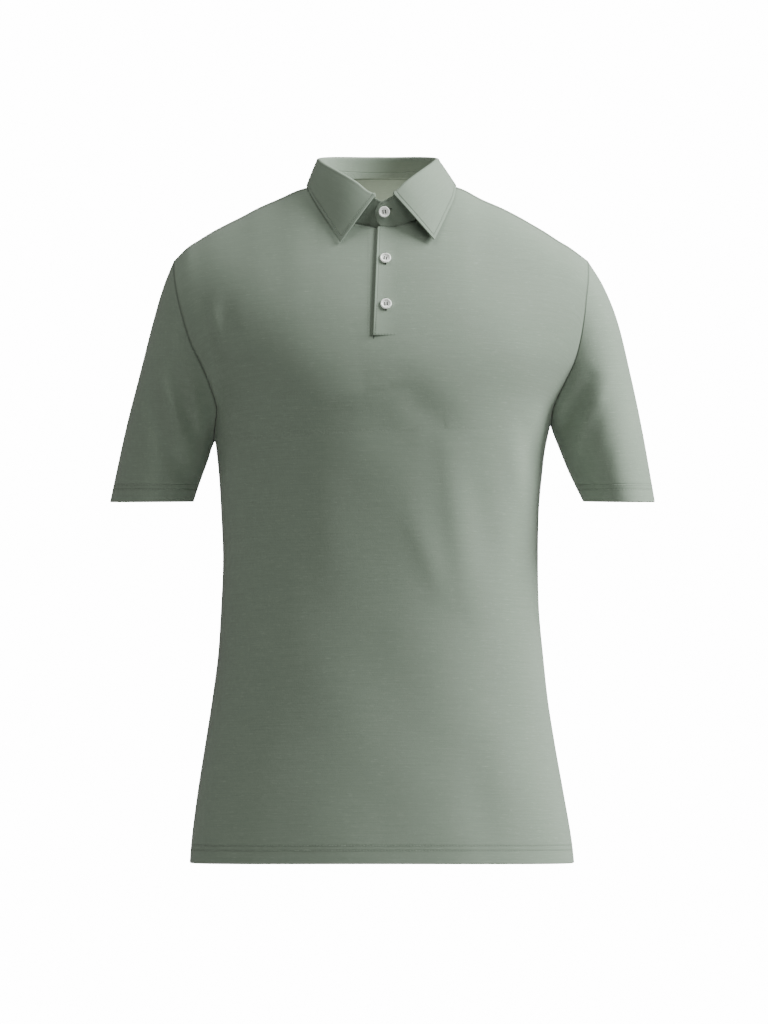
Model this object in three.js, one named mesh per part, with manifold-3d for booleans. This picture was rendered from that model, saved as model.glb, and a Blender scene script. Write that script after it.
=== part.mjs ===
// A short-sleeved polo shirt in fine sage-green jersey, filled out as if worn, with nobody in it.
// Millimetres, +Z up, the front faces -Y, and left and right in the tables are the viewer's.
// The origin is midway between the two points where the shoulder seams meet the neck.

import * as THREE from "three";
import { mergeVertices } from "three/addons/utils/BufferGeometryUtils.js";
import Module from "manifold-3d";

const wasm = await Module();
wasm.setup();

// Cloth
const JERSEY = 1.2;
const HEM_CLOTH = 2.2;
const COLLAR_CLOTH = 1.6;
const SEAM_GAP = 0.3;
const HEM_TURN = 20;

// Outline of the body, read across the front at each height
const BODY_WIDTHS = [
  { height: -712, left: 202.5, right: 202.5 },
  { height: -681, left: 199.9, right: 198.8 },
  { height: -633, left: 193.6, right: 190.4 },
  { height: -586, left: 186.2, right: 182.0 },
  { height: -539, left: 178.8, right: 174.6 },
  { height: -491, left: 172.5, right: 169.4 },
  { height: -444, left: 169.4, right: 165.2 },
  { height: -391, left: 167.3, right: 164.1 },
  { height: -337, left: 169.4, right: 165.2 },
  { height: -303, left: 171.5, right: 168.3 },
  { height: -276, left: 174.2, right: 171.5 },
  { height: -250, left: 177.5, right: 177.0 },
];

// How far the front and the back stand out from the side seams at each height
const BODY_DEPTHS = [
  { height: -712, front: 121, back: 114 },
  { height: -633, front: 118, back: 110 },
  { height: -539, front: 115, back: 101 },
  { height: -444, front: 115, back: 96 },
  { height: -391, front: 118, back: 98 },
  { height: -337, front: 124, back: 104 },
  { height: -258, front: 133, back: 113 },
  { height: -200, front: 134, back: 117 },
  { height: -150, front: 131, back: 119 },
  { height: -100, front: 126, back: 118 },
  { height: -46, front: 119, back: 112 },
  { height: 14, front: 113, back: 107 },
];
const SECTION_POWER = 2.3;
const SHOULDER_POWER = { front: 2, back: 2.6 };

// Hem height at the side seams, and how much higher it is at the centre of each panel
const HEM = { side: -709, front: 8, back: -3 };

// Armholes: their lowest points differ a little, as worn
const ARMPIT = { left: -266, right: -250 };
const ARMHOLE_DEPTH = { front: 63, back: 58 };
const SHOULDER_TIP = -77;
const ARMHOLE = [
  { height: -268, left: 177.0, right: 176.0 },
  { height: -250, left: 174.0, right: 177.0 },
  { height: -232, left: 172.0, right: 178.6 },
  { height: -206, left: 180.0, right: 190.0 },
  { height: -187, left: 188.0, right: 199.0 },
  { height: -166, left: 198.5, right: 205.0 },
  { height: -138, left: 207.5, right: 210.0 },
  { height: -117, left: 213.0, right: 212.5 },
  { height: -99, left: 216.5, right: 215.0 },
  { height: -77, left: 219.0, right: 216.5 },
];

// Top line of the shoulders, out from the neck
const SHOULDER = [
  { height: 4.0, left: 68.0, right: 68.0 },
  { height: -2.0, left: 89.0, right: 86.0 },
  { height: -11.6, left: 109.0, right: 104.0 },
  { height: -21.0, left: 130.0, right: 126.0 },
  { height: -29.5, left: 146.0, right: 143.0 },
  { height: -38.0, left: 163.0, right: 158.0 },
  { height: -46.0, left: 178.0, right: 171.5 },
  { height: -55.0, left: 192.5, right: 185.0 },
  { height: -63.0, left: 205.0, right: 198.0 },
  { height: -77.0, left: 219.0, right: 216.5 },
];

// Neck seam: a ring that dips at the front
const NECK = { half: 68, height: 4, frontDrop: 50, backRise: 10 };
const RIDGE_IN_NECK = { front: 10, back: 26 };

// Sleeves: the outer and inner line of each, from armhole to cuff, and the depth between its faces
const SLEEVES = {
  right: [
    { along: 0.0, outerX: 216.5, outerZ: -77, innerX: 177.0, innerZ: -250, depth: 61 },
    { along: 0.15, outerX: 232.5, outerZ: -103, innerX: 180.5, innerZ: -260, depth: 62 },
    { along: 0.35, outerX: 247.5, outerZ: -140, innerX: 186.5, innerZ: -275, depth: 63 },
    { along: 0.6, outerX: 261.0, outerZ: -195, innerX: 195.0, innerZ: -296, depth: 64 },
    { along: 0.8, outerX: 273.5, outerZ: -254, innerX: 203.0, innerZ: -313, depth: 64 },
    { along: 1.0, outerX: 287.0, outerZ: -330, innerX: 211.5, innerZ: -330, depth: 63 },
  ],
  left: [
    { along: 0.0, outerX: 219.0, outerZ: -77, innerX: 177.0, innerZ: -266, depth: 61 },
    { along: 0.15, outerX: 229.5, outerZ: -103, innerX: 179.5, innerZ: -273, depth: 62 },
    { along: 0.35, outerX: 240.5, outerZ: -140, innerX: 183.0, innerZ: -286, depth: 63 },
    { along: 0.6, outerX: 254.5, outerZ: -195, innerX: 188.5, innerZ: -302, depth: 64 },
    { along: 0.8, outerX: 269.5, outerZ: -254, innerX: 193.5, innerZ: -316, depth: 64 },
    { along: 1.0, outerX: 286.0, outerZ: -330, innerX: 198.0, innerZ: -330, depth: 63 },
  ],
};

// Largest folds, seen square from the front or the back: a line, its half width and how far it
// stands out (or lies in, where negative)
const FOLDS = {
  front: [
    { x1: -185, z1: -128, x2: -176, z2: -176, spread: 10, out: -3.5 },
    { x1: -176, z1: -176, x2: -168, z2: -240, spread: 10, out: -4 },
    { x1: -176, z1: -130, x2: -166, z2: -168, spread: 9, out: 2.5 },
    { x1: -162, z1: -133, x2: -157, z2: -165, spread: 9, out: -1.8 },
    { x1: -236, z1: -214, x2: -212, z2: -300, spread: 10, out: -4 },
    { x1: -226, z1: -205, x2: -203, z2: -280, spread: 9, out: 3 },
    { x1: 224, z1: -205, x2: 192, z2: -262, spread: 10, out: -4 },
    { x1: 233, z1: -236, x2: 218, z2: -300, spread: 9, out: -3 },
    { x1: 240, z1: -215, x2: 206, z2: -285, spread: 9, out: 2.5 },
    { x1: 70, z1: -262, x2: 88, z2: -440, spread: 16, out: 2.6 },
    { x1: 32, z1: -330, x2: 62, z2: -440, spread: 15, out: 2.2 },
    { x1: 132, z1: -262, x2: 150, z2: -345, spread: 14, out: -2.6 },
    { x1: -86, z1: -268, x2: -80, z2: -400, spread: 18, out: -2.2 },
  ],
  back: [
    { x1: -60, z1: -250, x2: -78, z2: -420, spread: 18, out: 2.6 },
    { x1: 66, z1: -240, x2: 84, z2: -400, spread: 18, out: 2.4 },
    { x1: 150, z1: -180, x2: 128, z2: -300, spread: 16, out: -3.2 },
    { x1: -152, z1: -190, x2: -126, z2: -310, spread: 16, out: -3.2 },
    { x1: 228, z1: -210, x2: 200, z2: -280, spread: 10, out: -3.5 },
    { x1: -228, z1: -205, x2: -198, z2: -285, spread: 10, out: -3.5 },
  ],
};

// Placket: the slit it fills, its free edge, and the lower layer
const SLIT = { left: -12.3, right: 15.0, foot: -160 };
const PLACKET_EDGE = -8;
const UNDER_END = 11;
const LAYERS = { top: 0.8, under: -1.2 };

// Collar, by the turn round the neck in degrees from the centre of the back
const FOLD_LINE = [
  { turn: 0, height: 36.5, depth: 48 },
  { turn: 45, height: 35.5, depth: 48 },
  { turn: 90, height: 31, depth: 48 },
  { turn: 104, height: 28, depth: 66 },
  { turn: 127, height: 18.5, depth: 68 },
  { turn: 145, height: 8, depth: 69 },
  { turn: 157, height: -1, depth: 70 },
  { turn: 167, height: -10.5, depth: 71 },
  { turn: 180, height: -17, depth: 71 },
];
const FOLD_HALF = 63;
const FOLD_RADIUS = 2;
const LEAF_RISE = { middle: 7.5, swing: 5 };
const LEAF_END = { left: 173.5, right: 169 };
const LEAF_EDGE = {
  right: [
    { turn: 0, x: 0, height: -8, lift: 1.8 },
    { turn: 30, x: 38, height: -8, lift: 1.8 },
    { turn: 58, x: 67, height: -5, lift: 1.8 },
    { turn: 80, x: 79, height: -0.6, lift: 3.1 },
    { turn: 100, x: 79.5, height: -3.5, lift: 3.1 },
    { turn: 120, x: 74, height: -16, lift: 2.2 },
    { turn: 140, x: 67, height: -32, lift: 2.4 },
    { turn: 157, x: 59.5, height: -49, lift: 3.1 },
    { turn: 169, x: 53.3, height: -62.5, lift: 3.6 },
  ],
  left: [
    { turn: 0, x: 0, height: -8, lift: 1.8 },
    { turn: 30, x: 38, height: -8, lift: 1.8 },
    { turn: 58, x: 67, height: -5, lift: 1.8 },
    { turn: 80, x: 79, height: -0.6, lift: 3.1 },
    { turn: 100, x: 79, height: -3.5, lift: 3.1 },
    { turn: 120, x: 72, height: -15, lift: 2.2 },
    { turn: 140, x: 62.5, height: -30, lift: 2.2 },
    { turn: 158, x: 52, height: -47, lift: 2.2 },
    { turn: 173.5, x: 42.4, height: -63, lift: 2.2 },
  ],
};
const LEAF_SWELL = 3.5;

// Rounded ends of the stand: its foot and head at each reach across the centre, as shares of its height
const STAND_END = [
  { reach: -30, foot: 0, head: 1 },
  { reach: -13, foot: 0, head: 1 },
  { reach: 0, foot: 0.01, head: 0.84 },
  { reach: 3.5, foot: 0.1, head: 0.75 },
  { reach: 5.8, foot: 0.24, head: 0.63 },
  { reach: 7, foot: 0.38, head: 0.5 },
];
const STAND_LAYERS = { top: 1.3, under: -1.3 };
const COLLAR_SEAM = 0.6;

// Buttons
const BUTTON = { radius: 5.75, thickness: 2.4, hole: 0.75, holeOut: 1.4, seat: 0.35 };
const BUTTONS = [
  { name: "button_1", x: 2.4, height: -31, turn: 8 },
  { name: "button_2", x: 3.6, height: -79.5, turn: -12 },
  { name: "button_3", x: 4.2, height: -127, turn: 5 },
];

const LOOKS = {
  jersey: { color: 0x8a9688, roughness: 0.82 },
  collar: { color: 0x8f9b8d, roughness: 0.84 },
  inside: { color: 0x7e8a7c, roughness: 0.86 },
  shell: { color: 0xd3d7cb, roughness: 0.3 },
};

const degrees = THREE.MathUtils.degToRad;
const mix = THREE.MathUtils.lerp;
const { abs, asin, cos, exp, hypot, max, min, sign, sin, sqrt } = Math;

// One named column of a table as a smooth curve over another column, level beyond its ends
function curve(table, key, column) {
  const rows = [...table].sort((a, b) => a[key] - b[key]);
  const last = rows.length - 1;
  const slopes = rows.map((row, i) => {
    const before = rows[max(i - 1, 0)];
    const after = rows[min(i + 1, last)];
    return (after[column] - before[column]) / (after[key] - before[key]);
  });
  return (at) => {
    const place = min(max(at, rows[0][key]), rows[last][key]);
    const next = max(rows.findIndex((row) => row[key] >= place), 1);
    const a = rows[next - 1];
    const b = rows[next];
    const span = b[key] - a[key];
    const s = (place - a[key]) / span;
    const rise = s * s * (3 - 2 * s);
    const ends = slopes[next - 1] * s * (1 - s) * (1 - s) - slopes[next] * s * s * (1 - s);
    return mix(a[column], b[column], rise) + ends * span;
  };
}

function solve(test, low, high) {
  let a = low;
  let b = high;
  for (let step = 0; step < 40; step += 1) {
    const middle = (a + b) / 2;
    if (test(middle)) {
      b = middle;
    } else {
      a = middle;
    }
  }
  return (a + b) / 2;
}

const sides = ["left", "right"];
const bothSides = (table) => Object.fromEntries(sides.map((side) => [side, curve(table, "height", side)]));
const halfWidth = bothSides(BODY_WIDTHS);
const armholeOut = bothSides(ARMHOLE);
const shoulderTop = {
  left: curve(SHOULDER, "left", "height"),
  right: curve(SHOULDER, "right", "height"),
};
const depthOf = {
  front: curve(BODY_DEPTHS, "height", "front"),
  back: curve(BODY_DEPTHS, "height", "back"),
};
const sideOf = (x) => (x < 0 ? "left" : "right");
const roundOff = (share) => max(1 - share ** SECTION_POWER, 0) ** (1 / SECTION_POWER);

// Height of the line that a column of a panel climbs to, carried on smoothly inside the neck
function ridge(panel, x) {
  const out = abs(x);
  if (out >= NECK.half) {
    return shoulderTop[sideOf(x)](out);
  }
  return NECK.height + RIDGE_IN_NECK[panel] * (1 - (out / NECK.half) ** 2);
}

// A point of the body. The angle is 0 at the centre and 90 degrees at a side seam or armhole.
// The climb is -1 at the hem, 0 at the armpits and 1 at the top of the shoulder.
function body(panel, angle, climb) {
  const across = sin(degrees(angle));
  const side = sideOf(angle);
  const facing = panel === "front" ? -1 : 1;
  const armpit = mix(ARMPIT.left, ARMPIT.right, (1 + across) / 2);
  if (climb <= 0) {
    const hem = HEM.side + HEM[panel] * cos(degrees(angle));
    const z = mix(hem, armpit, climb + 1);
    const y = facing * depthOf[panel](z) * roundOff(abs(across));
    return new THREE.Vector3(across * halfWidth[side](z), y, z);
  }
  const power = 2 / SHOULDER_POWER[panel];
  const up = sin(degrees(90 * climb)) ** power;
  const over = max(cos(degrees(90 * climb)), 0) ** power;
  const lowEdge = ARMPIT[side];
  const edge = mix(lowEdge, SHOULDER_TIP, up);
  const spread = sign(across) * abs(across) ** 3;
  const base = across * halfWidth[side](armpit);
  const x = base + spread * (armholeOut[side](edge) - halfWidth[side](lowEdge));
  const topX = base + spread * (armholeOut[side](SHOULDER_TIP) - halfWidth[side](lowEdge));
  const z = mix(armpit, ridge(panel, topX), up);
  if (over < 1e-4) {
    return new THREE.Vector3(x, 0, z);
  }
  const middle = (lowEdge + SHOULDER_TIP) / 2;
  const half = (SHOULDER_TIP - lowEdge) / 2;
  const armholeDepth = ARMHOLE_DEPTH[panel] * sqrt(max(1 - ((edge - middle) / half) ** 2, 0));
  const share = min(armholeDepth / (depthOf[panel](edge) * over), 0.97);
  const reach = armholeOut[side](edge) / roundOff(share);
  return new THREE.Vector3(x, facing * depthOf[panel](z) * over * roundOff(min(abs(x) / reach, 1)), z);
}

// The way that the cloth faces, outwards. Along an armhole it leans as the sleeve does.
function facing(panel, angle, climb) {
  const side = sideOf(angle);
  if (abs(angle) > 89.9) {
    const out = side === "left" ? -1 : 1;
    if (climb < 0) {
      return new THREE.Vector3(out, 0, 0);
    }
    const here = body(panel, angle, climb);
    const middle = (ARMPIT[side] + SHOULDER_TIP) / 2;
    const half = (SHOULDER_TIP - ARMPIT[side]) / 2;
    const up = (here.z - middle) / half;
    const lean = 0.3 * (1 + up);
    return new THREE.Vector3(out * lean, here.y / ARMHOLE_DEPTH[panel], up).normalize();
  }
  const turnStep = 0.4;
  const climbStep = 0.004;
  const before = body(panel, max(angle - turnStep, -89.99), climb);
  const after = body(panel, min(angle + turnStep, 89.99), climb);
  const below = body(panel, angle, max(climb - climbStep, -1));
  const above = body(panel, angle, min(climb + climbStep, 1));
  const way = after.sub(before).cross(above.sub(below)).normalize();
  return panel === "front" ? way : way.negate();
}

// How far the folds push the cloth out at a place seen square from the front or the back
function folded(panel, x, z) {
  return FOLDS[panel].reduce((total, fold) => {
    const runX = fold.x2 - fold.x1;
    const runZ = fold.z2 - fold.z1;
    const length = hypot(runX, runZ);
    const along = ((x - fold.x1) * runX + (z - fold.z1) * runZ) / length ** 2;
    const aside = ((x - fold.x1) * runZ - (z - fold.z1) * runX) / length;
    const past = max(-along, along - 1, 0) * length;
    return total + fold.out * exp(-((aside / fold.spread) ** 2) - (past / (2 * fold.spread)) ** 2);
  }, 0);
}

// Neck seam
function neckLine(panel, x) {
  const rise = panel === "front" ? -NECK.frontDrop : NECK.backRise;
  return NECK.height + rise * sqrt(max(1 - (x / NECK.half) ** 2, 0));
}

function lastClimb(panel, angle) {
  const top = body(panel, angle, 1);
  if (abs(top.x) >= NECK.half - 0.01) {
    return 1;
  }
  return solve((climb) => {
    const here = body(panel, angle, climb);
    return here.z > neckLine(panel, here.x);
  }, 0.2, 1);
}

// The angle of the column that ends at a given distance across, at the top of its climb
const columnAt = (panel, x) => solve((angle) => body(panel, angle, lastClimb(panel, angle)).x > x, -90, 90);

// The angle and climb of the cloth at a place given by how far across it is and its height
function placeOn(panel, x, height) {
  const climb = (angle) => solve((at) => body(panel, angle, at).z > height, -1, 1);
  const angle = solve((at) => body(panel, at, climb(at)).x > x, -90, 90);
  return { angle, climb: climb(angle) };
}

// A point that lies out from the cloth by a given distance
function outFrom(panel, { angle, climb }, distance) {
  return body(panel, angle, climb).addScaledVector(facing(panel, angle, climb), distance);
}

// Closes a sheet of points into a wall: outer face, inner face and a rim along every free edge.
// Rows and columns run so that the outer face shows them anticlockwise. Round sheets join up.
function wall(outer, inner, round = false, keep = () => true) {
  const rowCount = outer.length;
  const columnCount = outer[0].length;
  const cellsAcross = round ? columnCount : columnCount - 1;
  const position = [];
  for (const sheet of [outer, inner]) {
    for (const row of sheet) {
      for (const point of row) {
        position.push(point.x, point.y, point.z);
      }
    }
  }
  const at = (row, column, layer) => (layer * rowCount + row) * columnCount + (column % columnCount);
  const has = (row, column) => {
    const inside = row >= 0 && row < rowCount - 1 && (round || (column >= 0 && column < cellsAcross));
    return inside && keep(row, (column + cellsAcross) % cellsAcross);
  };
  const index = [];
  const gap = (a, b) => hypot(...[0, 1, 2].map((axis) => position[3 * a + axis] - position[3 * b + axis]));
  const face = (a, b, c, d) => {
    if (gap(a, c) < gap(b, d) + 1e-4) {
      index.push(a, b, c, a, c, d);
    } else {
      index.push(b, c, d, b, d, a);
    }
  };
  for (let row = 0; row < rowCount - 1; row += 1) {
    for (let column = 0; column < cellsAcross; column += 1) {
      if (has(row, column)) {
        const corners = [[row, column], [row, column + 1], [row + 1, column + 1], [row + 1, column]];
        const neighbours = [[row - 1, column], [row, column + 1], [row + 1, column], [row, column - 1]];
        const [a, b, c, d] = corners.map(([r, k]) => at(r, k, 0));
        const [e, f, g, h] = corners.map(([r, k]) => at(r, k, 1));
        face(a, b, c, d);
        face(h, g, f, e);
        neighbours.forEach(([r, k], edge) => {
          if (!has(r, k)) {
            const from = corners[edge];
            const to = corners[(edge + 1) % 4];
            face(at(...from, 0), at(...from, 1), at(...to, 1), at(...to, 0));
          }
        });
      }
    }
  }
  const geometry = new THREE.BufferGeometry();
  geometry.setAttribute("position", new THREE.Float32BufferAttribute(position, 3));
  geometry.setIndex(index);
  const flat = geometry.toNonIndexed();
  flat.computeVertexNormals();
  return flat;
}

// The way that each point of a sheet faces
function sheetFacing(points, round = false) {
  return points.map((row, r) => row.map((point, c) => {
    const count = row.length;
    const before = round ? row[(c + count - 1) % count] : row[max(c - 1, 0)];
    const after = round ? row[(c + 1) % count] : row[min(c + 1, count - 1)];
    const below = points[max(r - 1, 0)][c];
    const above = points[min(r + 1, points.length - 1)][c];
    const across = new THREE.Vector3().subVectors(after, before);
    return across.cross(new THREE.Vector3().subVectors(above, below)).normalize();
  }));
}

const pushed = (points, ways, distance) => points.map((row, r) => row.map((point, c) => (
  point.clone().addScaledVector(ways[r][c], typeof distance === "function" ? distance(r, c) : distance)
)));

function node(name, geometry, look) {
  const material = new THREE.MeshStandardMaterial({ ...LOOKS[look], metalness: 0 });
  const mesh = new THREE.Mesh(geometry, material);
  mesh.name = name;
  return mesh;
}

// Rows of a panel: below the armpits evenly, with the turned hem first, then by even steps
// round the armhole oval
const LOW_ROWS = 12;
const SLIT_ROW = 5;
const HIGH_ROWS = 12;
const LEVEL_SHARE = 0.3;
const hemLength = ARMPIT.left / 2 + ARMPIT.right / 2 - HEM.side;
const lowClimbs = [-1, HEM_TURN / hemLength - 1, (HEM_TURN + 0.8) / hemLength - 1];
for (let row = 1; row <= LOW_ROWS; row += 1) {
  lowClimbs.push(mix(lowClimbs[2], 0, row / LOW_ROWS));
}
const ovalShare = (panel, oval) => {
  const up = ((1 - cos(degrees(oval))) / 2) ** (SHOULDER_POWER[panel] / 2);
  return (2 / Math.PI) * asin(min(up, 1));
};
const slitClimb = placeOn("front", 0, SLIT.foot).climb;
const slitOval = solve((oval) => ovalShare("front", oval) > slitClimb, 0, 180);

function ovalSteps(panel) {
  const steps = [];
  for (let row = 0; row <= HIGH_ROWS; row += 1) {
    const even = (180 * row) / HIGH_ROWS;
    const fitted = row <= SLIT_ROW
      ? mix(0, slitOval, row / SLIT_ROW)
      : mix(slitOval, 180, (row - SLIT_ROW) / (HIGH_ROWS - SLIT_ROW));
    steps.push(panel === "front" ? fitted : even);
  }
  return steps;
}

// Rows run level across a panel at first, and then close up towards the neck seam
function climbTo(share, end) {
  return share < LEVEL_SHARE ? share : mix(LEVEL_SHARE, end, (share - LEVEL_SHARE) / (1 - LEVEL_SHARE));
}

function panelPlaces(panel, angles) {
  const ends = angles.map((angle) => lastClimb(panel, angle));
  const low = lowClimbs.slice(0, -1).map((climb) => angles.map((angle) => ({ angle, climb })));
  const high = ovalSteps(panel).map((oval) => angles.map((angle, c) => (
    { angle, climb: climbTo(ovalShare(panel, oval), ends[c]) }
  )));
  return [...low, ...high];
}

// Keeps a panel just on its own side of the side and shoulder seams
function parted(panel, point) {
  point.y = panel === "front" ? min(point.y, -SEAM_GAP / 2) : max(point.y, SEAM_GAP / 2);
  return point;
}

function panelSheets(panel, angles) {
  const places = panelPlaces(panel, angles);
  const outer = places.map((row) => row.map((place) => {
    const base = body(panel, place.angle, place.climb);
    const clear = 1 - abs(sin(degrees(place.angle))) ** 10;
    return parted(panel, outFrom(panel, place, folded(panel, base.x, base.z) * clear));
  }));
  const inner = outer.map((row, r) => row.map((point, c) => {
    const place = places[r][c];
    const thickness = r < 2 ? HEM_CLOTH : JERSEY;
    return parted(panel, point.clone().addScaledVector(facing(panel, place.angle, place.climb), -thickness));
  }));
  return { outer, inner };
}

// Columns of a panel: by even angles outside the neck, and closer towards the shoulder seams inside it
const SIDE_COLUMNS = 9;
function columnAngles(panel, middle) {
  const neckEnd = { left: columnAt(panel, -NECK.half), right: columnAt(panel, NECK.half) };
  const angles = [];
  for (let step = 0; step < SIDE_COLUMNS; step += 1) {
    angles.push(mix(-90, neckEnd.left, step / SIDE_COLUMNS));
    angles.push(mix(90, neckEnd.right, step / SIDE_COLUMNS));
  }
  angles.push(neckEnd.left, neckEnd.right);
  for (const turn of [75, 60, 45, 30]) {
    angles.push(columnAt(panel, -NECK.half * sin(degrees(turn))));
    angles.push(columnAt(panel, NECK.half * sin(degrees(turn))));
  }
  for (const x of middle) {
    angles.push(columnAt(panel, x));
  }
  return angles.sort((a, b) => a - b);
}

const frontAngles = columnAngles("front", [-22, SLIT.left, 1.5, SLIT.right, 24]);
const backAngles = columnAngles("back", [-17, 0, 17]).reverse();
const front = panelSheets("front", frontAngles);
const back = panelSheets("back", backAngles);

const slitRow = lowClimbs.length - 1 + SLIT_ROW;
const inSlit = (column) => {
  const x = front.outer[slitRow][column].x;
  return x > SLIT.left - 1 && x < SLIT.right - 1;
};
const frontPanel = wall(front.outer, front.inner, false, (row, column) => row < slitRow || !inSlit(column));
const backPanel = wall(back.outer, back.inner);

// A sleeve leaves the armhole edge that the two panels make and closes to its round cuff
const SLEEVE_ROWS = [0, 0.04, 0.1, 0.18, 0.28, 0.4, 0.52, 0.64, 0.76, 0.86, 0.925, 0.93, 1];
function sleeve(side) {
  const out = side === "left" ? -1 : 1;
  const edgeColumn = { front: side === "left" ? 0 : frontAngles.length - 1 };
  edgeColumn.back = side === "left" ? backAngles.length - 1 : 0;
  const first = lowClimbs.length - 1;
  const frontLoop = [];
  const backLoop = [];
  for (let row = 0; row <= HIGH_ROWS; row += 1) {
    const ovals = { front: ovalSteps("front")[row], back: ovalSteps("back")[row] };
    frontLoop.push({ sheet: front, row: first + row, column: edgeColumn.front, oval: ovals.front, way: -1 });
    backLoop.push({ sheet: back, row: first + row, column: edgeColumn.back, oval: ovals.back, way: 1 });
  }
  const loop = [...backLoop.slice(0, -1), ...frontLoop.slice(1).reverse()];
  if (side === "left") {
    loop.reverse();
  }
  const read = (column) => curve(SLEEVES[side], "along", column);
  const names = ["outerX", "outerZ", "innerX", "innerZ", "depth"];
  const line = Object.fromEntries(names.map((name) => [name, read(name)]));
  const section = (along, step) => {
    const reach = (1 - cos(degrees(step.oval))) / 2;
    return new THREE.Vector3(
      out * mix(line.innerX(along), line.outerX(along), reach),
      step.way * line.depth(along) * sin(degrees(step.oval)),
      mix(line.innerZ(along), line.outerZ(along), reach),
    );
  };
  const edge = (step, layer) => {
    const point = step.sheet[layer][step.row][step.column].clone();
    point.x += out * SEAM_GAP;
    return point;
  };
  const outer = SLEEVE_ROWS.map((along) => loop.map((step) => {
    const start = edge(step, "outer").sub(section(0, step));
    const point = section(along, step).addScaledVector(start, (1 - along) ** 3);
    const panel = step.way < 0 ? "front" : "back";
    const clear = min(along * 6, 1) * sin(degrees(step.oval));
    point.y += step.way * folded(panel, point.x, point.z) * clear;
    return point;
  }));
  const ways = sheetFacing(outer, true);
  const last = SLEEVE_ROWS.length - 1;
  ways[last] = ways[last].map((way) => way.setZ(0).normalize());
  const inner = pushed(outer, ways, (row) => (row >= last - 1 ? -HEM_CLOTH : -JERSEY));
  inner[0] = loop.map((step) => edge(step, "inner"));
  return wall(outer, inner, true);
}

// Plackets lie in the slit, one on the other, from its foot to the neck seam
const PLACKET_ROWS = 9;
function placket(left, right, layer) {
  const columns = [0, 0.25, 0.5, 0.75, 1].map((share) => {
    const x = mix(left, right, share);
    const angle = columnAt("front", x);
    const foot = body("front", angle, slitClimb).z + SEAM_GAP;
    return { x, foot, head: neckLine("front", x) - SEAM_GAP };
  });
  const sheet = (distance) => {
    const rows = [];
    for (let row = 0; row <= PLACKET_ROWS; row += 1) {
      rows.push(columns.map(({ x, foot, head }) => {
        const place = placeOn("front", x, mix(foot, head, row / PLACKET_ROWS));
        return outFrom("front", place, distance);
      }));
    }
    return rows;
  };
  return wall(sheet(layer), sheet(layer - COLLAR_CLOTH));
}

// The collar is worked out by the turn round the neck: 0 at the back, 90 at the right shoulder seam,
// 180 at the front, and less than 0 on the left. A turn past 180 overlaps the other side.
const foldHeight = curve(FOLD_LINE, "turn", "height");
const foldDepth = curve(FOLD_LINE, "turn", "depth");
const outward = (turn) => new THREE.Vector3(sin(degrees(turn)), cos(degrees(turn)), 0);
const shortTurn = (turn) => min(abs(turn), 360 - abs(turn));

function neckSeam(turn) {
  const x = NECK.half * sin(degrees(turn));
  const panel = shortTurn(turn) > 90 ? "front" : "back";
  const inside = sign(x) * min(abs(x), NECK.half - 0.02);
  const place = placeOn(panel, inside, neckLine(panel, inside));
  return body(panel, place.angle, place.climb);
}

function foldLine(turn) {
  const short = shortTurn(turn);
  const across = FOLD_HALF * sin(degrees(turn));
  return new THREE.Vector3(across, foldDepth(short) * cos(degrees(turn)), foldHeight(short));
}

// The right end of the band lies over the left one, and each moves out or in to let the other pass
function standLayer(turn) {
  const near = THREE.MathUtils.smoothstep(abs(turn), 145, 172);
  return near * (turn > 0 ? STAND_LAYERS.top : STAND_LAYERS.under);
}

function standHead(turn) {
  const foot = neckSeam(turn);
  const fold = foldLine(turn);
  const rise = LEAF_RISE.middle + LEAF_RISE.swing * cos(degrees(turn));
  return foot.lerp(fold, 1 - rise / foot.distanceTo(fold));
}

const standFootShare = curve(STAND_END, "reach", "foot");
const standHeadShare = curve(STAND_END, "reach", "head");
function standPoint(turn, share, distance) {
  const reach = abs(turn) > 90 ? -NECK.half * sin(degrees(abs(turn))) : STAND_END[0].reach;
  const level = mix(standFootShare(reach), standHeadShare(reach), share);
  const foot = neckSeam(turn);
  foot.z += COLLAR_SEAM;
  const point = foot.lerp(standHead(turn), level);
  return point.addScaledVector(outward(turn), standLayer(turn) + distance);
}

// Cuts through the collar, the same for the stand and the leaf, so that they meet evenly
function collarTurns(leftEnds, rightEnds) {
  const turns = [...leftEnds.map((turn) => -turn), ...rightEnds];
  for (let turn = -162; turn <= 162; turn += 9) {
    turns.push(turn);
  }
  return turns.sort((a, b) => b - a);
}

function collarStand() {
  const last = 180 + asin(STAND_END.at(-1).reach / NECK.half) * THREE.MathUtils.RAD2DEG;
  const overlap = [176, 180, 182.5, 184.5, last];
  const turns = collarTurns([LEAF_END.left, ...overlap], [LEAF_END.right, ...overlap]);
  const sheet = (distance) => [0, 0.33, 0.67, 1].map((share) => (
    turns.map((turn) => standPoint(turn, share, distance))
  ));
  return wall(sheet(0), sheet(-COLLAR_CLOTH));
}

const leafEdge = Object.fromEntries(sides.map((side) => [side, {
  x: curve(LEAF_EDGE[side], "turn", "x"),
  height: curve(LEAF_EDGE[side], "turn", "height"),
  lift: curve(LEAF_EDGE[side], "turn", "lift"),
}]));

// Free edge of the leaf, resting on the shoulders, the chest and the back
function leafFoot(turn) {
  const side = sideOf(turn);
  const edge = leafEdge[side];
  const panel = abs(turn) > 90 ? "front" : "back";
  const x = sign(turn) * edge.x(abs(turn));
  const place = placeOn(panel, x, min(edge.height(abs(turn)), ridge(panel, x) - 0.3));
  return outFrom(panel, place, edge.lift(abs(turn)));
}

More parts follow.
